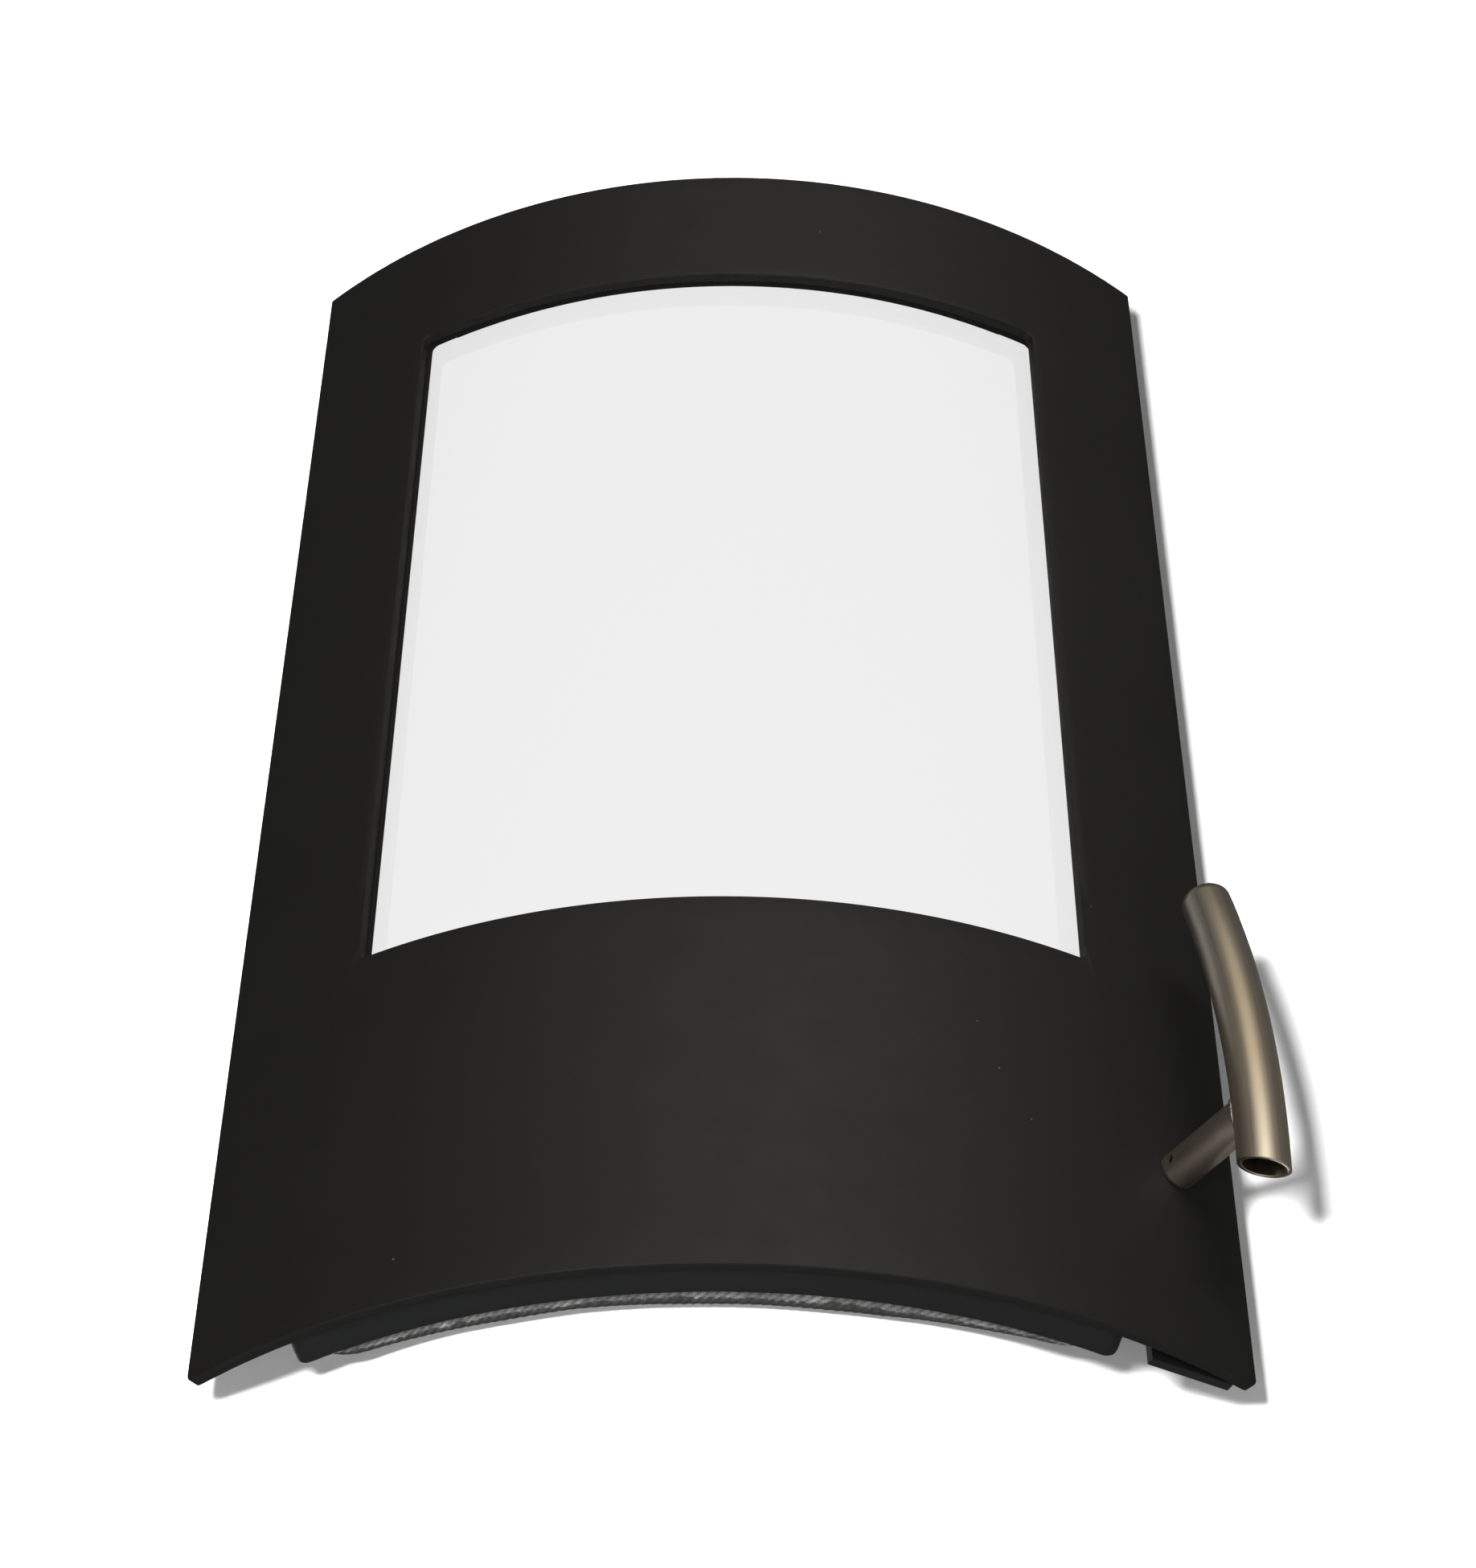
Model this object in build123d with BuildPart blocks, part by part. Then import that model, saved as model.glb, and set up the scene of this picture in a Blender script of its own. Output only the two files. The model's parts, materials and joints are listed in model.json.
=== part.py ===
"""Curved stove door: a rolled steel face with a curved window, hung on its left and latched on its right.

The frame is upright, in millimetres: X runs across the door, Y into the stove and Z up. The origin is
the centre of the lower hinge bush. The face and all that follows it are concentric about one upright axis.
"""

import os
from math import asin, atan2, cos, degrees, radians, sin, sqrt, tan

from build123d import *

# Face plate, a rolled sheet with a window in it
DOOR_WIDTH = 420.0
DOOR_HEIGHT = 706.0
FACE_RADIUS = 325.4
PLATE = 5.0
FOOT_CORNER = 3.5
WINDOW_WIDTH = 307.0
WINDOW_HEIGHT = 430.5
WINDOW_SILL = 193.0
WINDOW_CORNER = 4.0

# Hinges, two lugs behind the left edge
HINGE_TO_MIDDLE = 192.0
HINGE_BEHIND_EDGES = 8.0
LOWER_HINGE_RISE = 60.0
HINGE_SPACING = 585.0
HINGE_PIN_BORE = 5.05
LUG_THICKNESS = 6.0
LUG_EYE = 11.0
LUG_FOOT_ANGLES = (-38.6, -33.4)
LUG_FOOT_ROUND = 2.0
BUSH_RADIUS = 7.0
BUSH_FLANGE_RADIUS = 9.5
BUSH_FLANGE = 2.0
BUSH_LENGTH = 10.0

# Inner frame, a folded channel that carries the rope seal and holds the sides of the glass
FRAME_SHEET = 2.0
FRAME_DEPTH = 16.7
FRAME_END_INSET = 2.0
FRAME_LEFT = 170.0
FRAME_RIGHT = 170.0
FRAME_RIGHT_BY_LATCH = 157.3
FRAME_WALL_OUT = 24.0
FRAME_WALL_LEAN = 10.0
FRAME_CORNER = 8.0
FRAME_INNER_WALL = 8.2
JOG_START = 150.0
JOG_END = 175.0
OPENING_LEFT = 151.0
OPENING_RIGHT = 152.5
OPENING_RIGHT_BY_LATCH = 139.5
OPENING_END_INSET = 16.0
OPENING_CORNER = 14.0
ROPE_WIDTH = 13.0
ROPE_DEPTH = 9.8
ROPE_GAP = 0.8
ROPE_BEVEL = 3.2

# Glass, its tapes and its two clamps
GLASS = 4.0
GLASS_HALF_WIDTH = 162.0
GLASS_OVERLAP = 12.0
GLASS_CORNER = 5.0
TAPE = 3.0
TAPE_WIDTH = 9.0
TAPE_LEFT_PROUD = 0.8
TAPE_RIGHT_BACK = 2.2
REAR_TAPE = 1.5
REAR_TAPE_START = 152.0
REAR_TAPE_END = 161.0
CLAMP_SHEET = 2.0
CLAMP_FOOT = 16.0
CLAMP_BITE = 5.0
CLAMP_GAP = 1.0
CLAMP_ANGLE = 26.0
STUD_ANGLES = (-20.0, 0.0, 20.0)
STUD_CLEARANCE = 0.3
CLAMP_STUD_RADIUS = 2.5
CLAMP_STUD_LENGTH = 10.0
CLAMP_NUT_ACROSS = 8.0
CLAMP_NUT_HEIGHT = 4.0

# Heat shield behind the solid lower part of the face
SHIELD_SHEET = 2.0
SHIELD_STANDOFF = 10.0
SHIELD_BOTTOM = 26.0
SHIELD_TOP = 154.0
SHIELD_FROM_ANGLE = -26.5
SHIELD_TO_ANGLE = 23.5
SHIELD_LIP = 7.0
SHIELD_LIP_ENDS = 2.0
SHIELD_CORNER = 6.0
SHIELD_FIXINGS = ((-18.5, 48.0), (15.5, 48.0), (-18.5, 132.0), (15.5, 132.0))
SPACER_ACROSS = 11.0
SHIELD_STUD_RADIUS = 3.0
SHIELD_STUD_LENGTH = 9.0
SHIELD_NUT_ACROSS = 10.0
SHIELD_NUT_HEIGHT = 5.0

# Latch: a flat plate behind the right edge, and a spindle square to the face there
SPINDLE_ANGLE = 34.54
SPINDLE_RISE = 92.4
SPINDLE_RADIUS = 5.0
SPINDLE_FLATS = 8.0
SPINDLE_IN_STEM = 22.0
SPINDLE_END_CHAMFER = 0.8
THREAD_RADIUS = 4.0
LATCH_PLATE_WIDTH = 36.5
LATCH_PLATE_THICKNESS = 4.0
LATCH_PLATE_HEIGHT = 148.0
LATCH_PLATE_EDGE = 200.5
LATCH_PLATE_TILT = 27.5
SPINDLE_BUSH_RADIUS = 8.0
SPINDLE_BUSH_BORE = 5.06
SPINDLE_BUSH_END = 14.0
WASHER_RADIUS = 10.0
WASHER = 1.0
WASHER_FIT = 0.1
HOOK = 5.0
HOOK_HUB = 11.0
HOOK_REACH = 24.0
HOOK_TIP = 5.5
HOOK_RISE = 1.5
HOOK_FIT = 0.05
SPRING_WASHER = 1.6
SPRING_RADIUS = 8.0
LATCH_NUT_ACROSS = 13.0
LATCH_NUT_HEIGHT = 5.0
THREAD_BEYOND_NUT = 2.0

# Handle: a bowed tube on a stem
STEM_RADIUS = 8.0
STEM_GAP = 0.5
STEM_BORE = 5.05
STEM_BORE_END = 22.5
STEM_CHAMFER = 0.6
PIN_RADIUS = 2.0
PIN_BORE = 1.2
PIN_SLOT = 0.9
PIN_LENGTH = 12.5
PIN_RISE = 5.3
PIN_HOLE_RADIUS = 2.1
TUBE_RADIUS = 10.6
TUBE_WALL = 2.0
TUBE_STANDOFF = 51.0
TUBE_BOW_RADIUS = 495.0
TUBE_BOW_APEX = -0.5
TUBE_LOW_END = -31.6
TUBE_HIGH_END = 123.2
TUBE_LOW_CUT = 24.0

# Worked out from the sizes above
EDGE_TO_AXIS = sqrt(FACE_RADIUS**2 - (DOOR_WIDTH / 2) ** 2)
MID_X = HINGE_TO_MIDDLE
AXIS_Y = EDGE_TO_AXIS - HINGE_BEHIND_EDGES
FOOT_Z = -LOWER_HINGE_RISE
EDGE_ANGLE = degrees(asin(DOOR_WIDTH / 2 / FACE_RADIUS))
WINDOW_ANGLE = degrees(asin(WINDOW_WIDTH / 2 / FACE_RADIUS))
BACK_RADIUS = FACE_RADIUS - PLATE
GLASS_RADIUS = BACK_RADIUS - TAPE
GLASS_BACK_RADIUS = GLASS_RADIUS - GLASS
LIP_RADIUS = BACK_RADIUS - FRAME_DEPTH
SHIELD_RADIUS = BACK_RADIUS - SHIELD_STANDOFF
WINDOW_Z = FOOT_Z + WINDOW_SILL
WINDOW_TOP_Z = WINDOW_Z + WINDOW_HEIGHT
GLASS_Z = WINDOW_Z - GLASS_OVERLAP
GLASS_TOP_Z = WINDOW_TOP_Z + GLASS_OVERLAP
FRAME_Z = FOOT_Z + FRAME_END_INSET
FRAME_TOP_Z = FOOT_Z + DOOR_HEIGHT - FRAME_END_INSET
CURVE_AXIS = Axis((MID_X, AXIS_Y, 0), (0, 0, 1))


def outward(angle):
    """Level direction square to the face at an angle from the door's middle, out of the stove."""
    return Vector(sin(radians(angle)), -cos(radians(angle)), 0)


def rightward(angle):
    """Level direction along the face at an angle from the door's middle."""
    return Vector(cos(radians(angle)), sin(radians(angle)), 0)


def on_curve(radius, angle, z):
    """Point at a radius and angle about the curve's axis."""
    return Vector(MID_X, AXIS_Y, z) + outward(angle) * radius


def angle_at(x, radius):
    """Angle at which a surface of that radius is x to the right of the door's middle."""
    return degrees(asin(x / radius))


def facing_out(radius, angle, z):
    """Plane on the curve with X to the right, Y up and Z out of the stove."""
    return Plane(on_curve(radius, angle, z), rightward(angle), outward(angle))


def sector(inner_radius, outer_radius, from_angle, to_angle):
    """Plan face between two radii and two angles about the curve's axis."""
    turn = to_angle - from_angle
    with BuildSketch() as plan:
        with BuildLine():
            outer = CenterArc((MID_X, AXIS_Y), outer_radius, from_angle - 90, turn)
            inner = CenterArc((MID_X, AXIS_Y), inner_radius, from_angle - 90, turn)
            Line(outer @ 0, inner @ 0)
            Line(outer @ 1, inner @ 1)
        make_face()
    return plan.sketch


def curved_slab(inner_radius, outer_radius, from_angle, to_angle, bottom, top, corner=0.0):
    """Piece of a curved sheet with upright radial edges, its four corners rounded in the sheet."""
    with BuildPart() as slab:
        with BuildSketch(Plane.XY.offset(bottom)):
            add(sector(inner_radius, outer_radius, from_angle, to_angle))
        extrude(amount=top - bottom)
        if corner:
            level_lines = slab.edges().filter_by(GeomType.LINE).filter_by(Axis.Z, reverse=True)
            fillet(level_lines, corner)
    return slab.part


def write(part, name):
    """Labels a finished piece and writes its file."""
    part.label = name
    export_step(part, f"parts/{name}.step")


SPINDLE = facing_out(FACE_RADIUS, SPINDLE_ANGLE, FOOT_Z + SPINDLE_RISE)
BOW = Plane(SPINDLE.origin, x_dir=(0, 0, 1), z_dir=rightward(SPINDLE_ANGLE))


def make_face_plate():
    """Rolled sheet with a rounded window and the hole that the spindle's bush is set in."""
    with BuildPart() as plate:
        with BuildSketch(Plane.XY.offset(FOOT_Z)):
            add(sector(BACK_RADIUS, FACE_RADIUS, -EDGE_ANGLE, EDGE_ANGLE))
        extrude(amount=DOOR_HEIGHT)
        foot = plate.edges().filter_by(GeomType.LINE).group_by(Axis.Z)[0]
        fillet(foot, FOOT_CORNER)
        behind, before = BACK_RADIUS - PLATE, FACE_RADIUS + PLATE
        window = curved_slab(
            behind, before, -WINDOW_ANGLE, WINDOW_ANGLE, WINDOW_Z, WINDOW_TOP_Z, WINDOW_CORNER
        )
        add(window, mode=Mode.SUBTRACT)
        with BuildSketch(SPINDLE.offset(PLATE)):
            Circle(SPINDLE_BUSH_RADIUS)
        extrude(amount=-3 * PLATE, mode=Mode.SUBTRACT)
    return plate.part


def frame_block(inset, back_radius, front_radius):
    """Solid inside the frame's outer walls, which lean together at the sides and are level at the ends."""
    lean = tan(radians(FRAME_WALL_LEAN))
    meets = -HINGE_BEHIND_EDGES - FRAME_WALL_OUT
    front = meets - FACE_RADIUS / 4
    back = meets + 3 * FRAME_DEPTH
    left = MID_X - FRAME_LEFT + inset
    right = MID_X + FRAME_RIGHT - inset
    step = FRAME_RIGHT - FRAME_RIGHT_BY_LATCH
    rise = FOOT_Z + inset * tan(atan2(step, JOG_END - JOG_START) / 2)
    low_end, high_end = FRAME_Z + inset, FRAME_TOP_Z - inset
    wide = [
        (left + (front - meets) * lean, front),
        (right - (front - meets) * lean, front),
        (right - (back - meets) * lean, back),
        (left + (back - meets) * lean, back),
    ]
    beside_latch = [
        (right - step, low_end - FRAME_DEPTH),
        (right - step, rise + JOG_START),
        (right, rise + JOG_END),
        (right + 3 * step, rise + JOG_END),
        (right + 3 * step, low_end - FRAME_DEPTH),
    ]
    away = Vector(-lean, 1, 0).normalized()
    level = Plane((0, meets, 0), x_dir=(1, 0, 0), z_dir=(0, -1, 0))
    with BuildPart() as block:
        with BuildSketch(Plane.XY.offset(low_end)):
            with BuildLine():
                Polyline(wide, close=True)
            make_face()
        extrude(amount=high_end - low_end)
        with BuildSketch(level):
            with BuildLine():
                Polyline(beside_latch, close=True)
            make_face()
        extrude(amount=FACE_RADIUS / 3, dir=away, both=True, mode=Mode.SUBTRACT)
        with BuildSketch(Plane.XY.offset(low_end)):
            add(sector(back_radius, front_radius, -EDGE_ANGLE, EDGE_ANGLE))
        extrude(amount=high_end - low_end, mode=Mode.INTERSECT)
        rows = block.edges().filter_by(GeomType.LINE).group_by(Axis.Z)
        fillet(rows[0] + rows[-1], FRAME_CORNER - inset)
    return block.part


def opening_outline(grow):
    """Outline of the frame's opening from the front, stepped in beside the latch and grown outwards."""
    corners = [
        (MID_X - OPENING_LEFT, FOOT_Z + OPENING_END_INSET),
        (MID_X + OPENING_RIGHT_BY_LATCH, FOOT_Z + OPENING_END_INSET),
        (MID_X + OPENING_RIGHT_BY_LATCH, FOOT_Z + JOG_START),
        (MID_X + OPENING_RIGHT, FOOT_Z + JOG_END),
        (MID_X + OPENING_RIGHT, FOOT_Z + DOOR_HEIGHT - OPENING_END_INSET),
        (MID_X - OPENING_LEFT, FOOT_Z + DOOR_HEIGHT - OPENING_END_INSET),
    ]
    with BuildSketch() as outline:
        with BuildLine():
            Polyline(corners, close=True)
        make_face()
        fillet(outline.vertices(), OPENING_CORNER)
        if grow:
            offset(amount=grow)
    return outline.sketch


def follow_opening(inner_grow, outer_grow, back_radius, front_radius):
    """Band that follows the opening's outline, between two radii of the curve."""
    depth = FACE_RADIUS - EDGE_TO_AXIS + 3 * FRAME_DEPTH
    rear = Plane((0, 3 * FRAME_DEPTH - HINGE_BEHIND_EDGES, 0), x_dir=(1, 0, 0), z_dir=(0, -1, 0))
    with BuildPart() as band:
        with BuildSketch(rear):
            add(opening_outline(outer_grow))
            if inner_grow is not None:
                add(opening_outline(inner_grow), mode=Mode.SUBTRACT)
        extrude(amount=depth)
        with BuildSketch(Plane.XY.offset(FOOT_Z)):
            add(sector(back_radius, front_radius, -EDGE_ANGLE, EDGE_ANGLE))
        extrude(amount=DOOR_HEIGHT, mode=Mode.INTERSECT)
    return band.part


def make_inner_frame():
    """Channel round the door: outer walls on the plate's back, a lip for the rope, a short inner wall."""
    with BuildPart() as frame:
        add(frame_block(0, LIP_RADIUS, BACK_RADIUS))
        inside = frame_block(FRAME_SHEET, LIP_RADIUS + FRAME_SHEET, BACK_RADIUS + PLATE)
        add(inside, mode=Mode.SUBTRACT)
        add(follow_opening(None, 0, LIP_RADIUS - 1, LIP_RADIUS + 2 * FRAME_SHEET), mode=Mode.SUBTRACT)
        add(follow_opening(0, FRAME_SHEET, LIP_RADIUS, LIP_RADIUS + FRAME_INNER_WALL))
    return frame.part


def make_door_rope():
    """Rope seal bonded to the frame's lip: full width there, and narrower towards the stove."""
    back = LIP_RADIUS - ROPE_DEPTH
    shoulder = back + ROPE_BEVEL
    far = ROPE_GAP + ROPE_WIDTH
    with BuildPart() as rope:
        add(follow_opening(ROPE_GAP, far, shoulder, LIP_RADIUS))
        add(follow_opening(ROPE_GAP + ROPE_BEVEL, far - ROPE_BEVEL, back, shoulder))
    return rope.part


def make_window_glass():
    """Curved pane, wider and taller than the window, with rounded corners."""
    half = angle_at(GLASS_HALF_WIDTH, GLASS_RADIUS)
    return curved_slab(GLASS_BACK_RADIUS, GLASS_RADIUS, -half, half, GLASS_Z, GLASS_TOP_Z, GLASS_CORNER)


def make_glass_tape():
    """Flat tape round the window, between the plate and the glass."""
    left = angle_at(-WINDOW_WIDTH / 2 + TAPE_LEFT_PROUD, FACE_RADIUS)
    right = angle_at(WINDOW_WIDTH / 2 + TAPE_RIGHT_BACK, FACE_RADIUS)
    wide = degrees(TAPE_WIDTH / BACK_RADIUS)
    with BuildPart() as tape:
        outer = curved_slab(
            GLASS_RADIUS,
            BACK_RADIUS,
            left - wide,
            right + wide,
            WINDOW_Z - TAPE_WIDTH,
            WINDOW_TOP_Z + TAPE_WIDTH,
            WINDOW_CORNER,
        )
        add(outer)
        behind, before = GLASS_RADIUS - TAPE, BACK_RADIUS + TAPE
        inner = curved_slab(behind, before, left, right, WINDOW_Z, WINDOW_TOP_Z, WINDOW_CORNER)
        add(inner, mode=Mode.SUBTRACT)
    return tape.part


def make_rear_tapes():
    """Two strips between the sides of the glass and the frame's inner walls."""
    bottom, top = GLASS_Z + GLASS_OVERLAP, GLASS_TOP_Z - GLASS_OVERLAP
    inner_radius = GLASS_BACK_RADIUS - REAR_TAPE
    near = angle_at(REAR_TAPE_START, GLASS_BACK_RADIUS)
    far = angle_at(REAR_TAPE_END, GLASS_BACK_RADIUS)
    with BuildPart() as tapes:
        add(curved_slab(inner_radius, GLASS_BACK_RADIUS, -far, -near, bottom, top))
        add(curved_slab(inner_radius, GLASS_BACK_RADIUS, near, far, bottom, top))
    return tapes.part


def make_glass_clamp(up, edge_z):
    """Folded strip that holds one end of the glass. up is 1 below the glass and -1 above it."""
    back = GLASS_BACK_RADIUS - CLAMP_GAP
    riser = edge_z - up * CLAMP_GAP
    section = [
        (BACK_RADIUS, riser - up * (CLAMP_SHEET + CLAMP_FOOT)),
        (BACK_RADIUS, riser),
        (back, riser),
        (back, edge_z + up * CLAMP_BITE),
        (back - CLAMP_SHEET, edge_z + up * CLAMP_BITE),
        (back - CLAMP_SHEET, riser - up * CLAMP_SHEET),
        (BACK_RADIUS - CLAMP_SHEET, riser - up * CLAMP_SHEET),
        (BACK_RADIUS - CLAMP_SHEET, riser - up * (CLAMP_SHEET + CLAMP_FOOT)),
    ]
    cut = Plane((MID_X, AXIS_Y, 0), x_dir=outward(-CLAMP_ANGLE), z_dir=rightward(-CLAMP_ANGLE) * -1)
    with BuildPart() as clamp:
        with BuildSketch(cut):
            with BuildLine():
                Polyline(section, close=True)
            make_face()
        revolve(axis=CURVE_AXIS, revolution_arc=2 * CLAMP_ANGLE)
        for angle in STUD_ANGLES:
            with BuildSketch(facing_out(BACK_RADIUS, angle, clamp_stud_z(up, edge_z))):
                Circle(CLAMP_STUD_RADIUS + STUD_CLEARANCE)
            extrude(amount=-2 * CLAMP_SHEET, mode=Mode.SUBTRACT)
    return clamp.part


def clamp_stud_z(up, edge_z):
    """Height of a clamp's studs, at the middle of its foot."""
    return edge_z - up * (CLAMP_GAP + CLAMP_SHEET + CLAMP_FOOT / 2)


def clamp_places():
    """Angle and height of each clamp stud."""
    rows = (clamp_stud_z(1, GLASS_Z), clamp_stud_z(-1, GLASS_TOP_Z))
    return [(angle, z) for z in rows for angle in STUD_ANGLES]


def shield_places():
    """Angle and height of each heat shield stud."""
    return [(angle, FOOT_Z + rise) for angle, rise in SHIELD_FIXINGS]


def make_studs(places, seat_radius, radius, length):
    """Round studs standing square on the hollow side of a curved seat."""
    with BuildPart() as studs:
        for angle, z in places:
            with BuildSketch(facing_out(seat_radius + 1, angle, z)):
                Circle(radius)
            extrude(amount=-length - 1)
        with BuildSketch(Plane.XY.offset(FOOT_Z)):
            add(sector(LIP_RADIUS / 2, seat_radius, -EDGE_ANGLE, EDGE_ANGLE))
        extrude(amount=DOOR_HEIGHT, mode=Mode.INTERSECT)
    return studs.part


def make_nuts(places, seat_radius, bore, across, height):
    """Hexagon nuts with their corners on the hollow side of a curved sheet, and their bores."""
    seat = sqrt(seat_radius**2 - (across / 2 / cos(radians(30))) ** 2)
    with BuildPart() as nuts:
        for angle, z in places:
            with BuildSketch(facing_out(seat, angle, z)):
                RegularPolygon(across / 2, 6, major_radius=False)
                Circle(bore, mode=Mode.SUBTRACT)
            extrude(amount=-height)
    return nuts.part


def make_heat_shield():
    """Curved sheet with folded ends that keeps the fire off the solid part of the face."""
    bottom, top = FOOT_Z + SHIELD_BOTTOM, FOOT_Z + SHIELD_TOP
    start, end = SHIELD_FROM_ANGLE, SHIELD_TO_ANGLE
    near, far = start + SHIELD_LIP_ENDS, end - SHIELD_LIP_ENDS
    inner = SHIELD_RADIUS - SHIELD_SHEET
    lip = SHIELD_RADIUS - SHIELD_LIP
    with BuildPart() as shield:
        add(curved_slab(inner, SHIELD_RADIUS, start, end, bottom, top, SHIELD_CORNER))
        for z in (bottom, top - SHIELD_SHEET):
            add(curved_slab(lip, SHIELD_RADIUS, near, far, z, z + SHIELD_SHEET))
        for angle, z in shield_places():
            with BuildSketch(facing_out(SHIELD_RADIUS + 1, angle, z)):
                Circle(SHIELD_STUD_RADIUS + STUD_CLEARANCE)
            extrude(amount=-2 * SHIELD_SHEET, mode=Mode.SUBTRACT)
    return shield.part


def make_shield_spacers():
    """Hexagon bosses between the plate and the heat shield. Their ends follow the two curved sheets."""
    with BuildPart() as spacers:
        for angle, z in shield_places():
            with BuildSketch(facing_out(BACK_RADIUS + 1, angle, z)):
                RegularPolygon(SPACER_ACROSS / 2, 6, major_radius=False)
            extrude(amount=-SHIELD_STANDOFF - 2)
        with BuildSketch(Plane.XY.offset(FOOT_Z)):
            add(sector(SHIELD_RADIUS, BACK_RADIUS, -EDGE_ANGLE, EDGE_ANGLE))
        extrude(amount=DOOR_HEIGHT, mode=Mode.INTERSECT)
    return spacers.part


def make_hinge_lug(z):
    """Lug welded to the plate's back at its left edge, with an eye round the hinge axis."""
    with BuildPart() as lug:
        with BuildSketch(Plane.XY.offset(z - LUG_THICKNESS / 2)):
            with BuildSketch(mode=Mode.PRIVATE) as arm:
                Circle(LUG_EYE)
                with Locations(*[on_curve(BACK_RADIUS, angle, 0) for angle in LUG_FOOT_ANGLES]):
                    Circle(LUG_FOOT_ROUND)
                make_hull()
            add(arm.sketch)
            Circle(BUSH_RADIUS, mode=Mode.SUBTRACT)
        extrude(amount=LUG_THICKNESS)
        with BuildSketch(Plane.XY.offset(z - LUG_THICKNESS)):
            add(sector(SHIELD_RADIUS - 4 * LUG_THICKNESS, BACK_RADIUS, -EDGE_ANGLE, 0))
        extrude(amount=2 * LUG_THICKNESS, mode=Mode.INTERSECT)
    return lug.part


def make_hinge_bush(z):
    """Flanged bush in a lug. The stove's pin turns in it."""
    with BuildPart() as bush:
        with BuildSketch(Plane.XY.offset(z - BUSH_LENGTH / 2)):
            Circle(BUSH_RADIUS)
        extrude(amount=BUSH_LENGTH)
        with BuildSketch(Plane.XY.offset(z - BUSH_LENGTH / 2)):
            Circle(BUSH_FLANGE_RADIUS)
        extrude(amount=BUSH_FLANGE)
        with BuildSketch(Plane.XY.offset(z - BUSH_LENGTH)):
            Circle(HINGE_PIN_BORE)
        extrude(amount=2 * BUSH_LENGTH, mode=Mode.SUBTRACT)
    return bush.part


def make_latch_plate():
    """Flat bar behind the right edge. One long edge meets the plate, and the other stands off it."""
    meets = on_curve(BACK_RADIUS, angle_at(LATCH_PLATE_EDGE, BACK_RADIUS), FOOT_Z)
    across = Vector(-cos(radians(LATCH_PLATE_TILT)), -sin(radians(LATCH_PLATE_TILT)), 0)
    inward = Vector(-sin(radians(LATCH_PLATE_TILT)), cos(radians(LATCH_PLATE_TILT)), 0)
    section = [
        meets,
        meets + across * LATCH_PLATE_WIDTH,
        meets + across * LATCH_PLATE_WIDTH + inward * LATCH_PLATE_THICKNESS,
        meets + inward * LATCH_PLATE_THICKNESS,
    ]
    with BuildPart() as bar:
        with BuildSketch(Plane.XY.offset(FOOT_Z)):
            with BuildLine():
                Polyline([(p.X, p.Y) for p in section], close=True)
            make_face()
        extrude(amount=LATCH_PLATE_HEIGHT)
        with BuildSketch(SPINDLE):
            Circle(SPINDLE_BUSH_RADIUS)
        extrude(amount=-8 * LATCH_PLATE_THICKNESS, mode=Mode.SUBTRACT)
    return bar.part


def make_spindle_bush():
    """Plain bearing set through the face and the latch plate."""
    with BuildPart() as bush:
        with BuildSketch(SPINDLE):
            Circle(SPINDLE_BUSH_RADIUS)
            Circle(SPINDLE_BUSH_BORE, mode=Mode.SUBTRACT)
        extrude(amount=-SPINDLE_BUSH_END)
        with BuildSketch(Plane.XY.offset(FOOT_Z)):
            add(sector(BACK_RADIUS / 2, FACE_RADIUS, 0, EDGE_ANGLE))
        extrude(amount=DOOR_HEIGHT, mode=Mode.INTERSECT)
    return bush.part


# What the spindle carries behind the latch plate, in order, each by how far its front is behind the face
WASHER_FRONT = SPINDLE_BUSH_END + WASHER_FIT
HOOK_FRONT = WASHER_FRONT + WASHER
SPRING_FRONT = HOOK_FRONT + HOOK
NUT_FRONT = SPRING_FRONT + SPRING_WASHER
SPINDLE_END = NUT_FRONT + LATCH_NUT_HEIGHT + THREAD_BEYOND_NUT


def make_spindle():
    """Round bar with two flats for the hook, a threaded end, and a cross hole for the stem's pin."""
    with BuildPart() as bar:
        with BuildSketch(SPINDLE.offset(SPINDLE_IN_STEM)):
            Circle(SPINDLE_RADIUS)
        extrude(amount=-SPINDLE_IN_STEM - HOOK_FRONT)
        with BuildSketch(SPINDLE.offset(-HOOK_FRONT)):
            Circle(SPINDLE_RADIUS)
            Rectangle(2 * SPINDLE_RADIUS, SPINDLE_FLATS, mode=Mode.INTERSECT)
        extrude(amount=-HOOK)
        with BuildSketch(SPINDLE.offset(-SPRING_FRONT)):
            Circle(THREAD_RADIUS)
        extrude(amount=SPRING_FRONT - SPINDLE_END)
        chamfer(bar.edges().sort_by(Axis(SPINDLE.origin, SPINDLE.z_dir))[0], SPINDLE_END_CHAMFER)
        add(pin_hole(), mode=Mode.SUBTRACT)
    return bar.part


def pin_hole():
    """Cross hole through the stem and the spindle, along the face."""
    with BuildPart() as hole:
        with BuildSketch(pin_plane()):
            Circle(PIN_HOLE_RADIUS)
        extrude(amount=2 * STEM_RADIUS, both=True)
    return hole.part


def pin_plane():
    """Plane through the spindle's axis at the pin, facing along the face."""
    return Plane(SPINDLE.origin + SPINDLE.z_dir * PIN_RISE, x_dir=SPINDLE.z_dir, z_dir=SPINDLE.x_dir)


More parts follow.
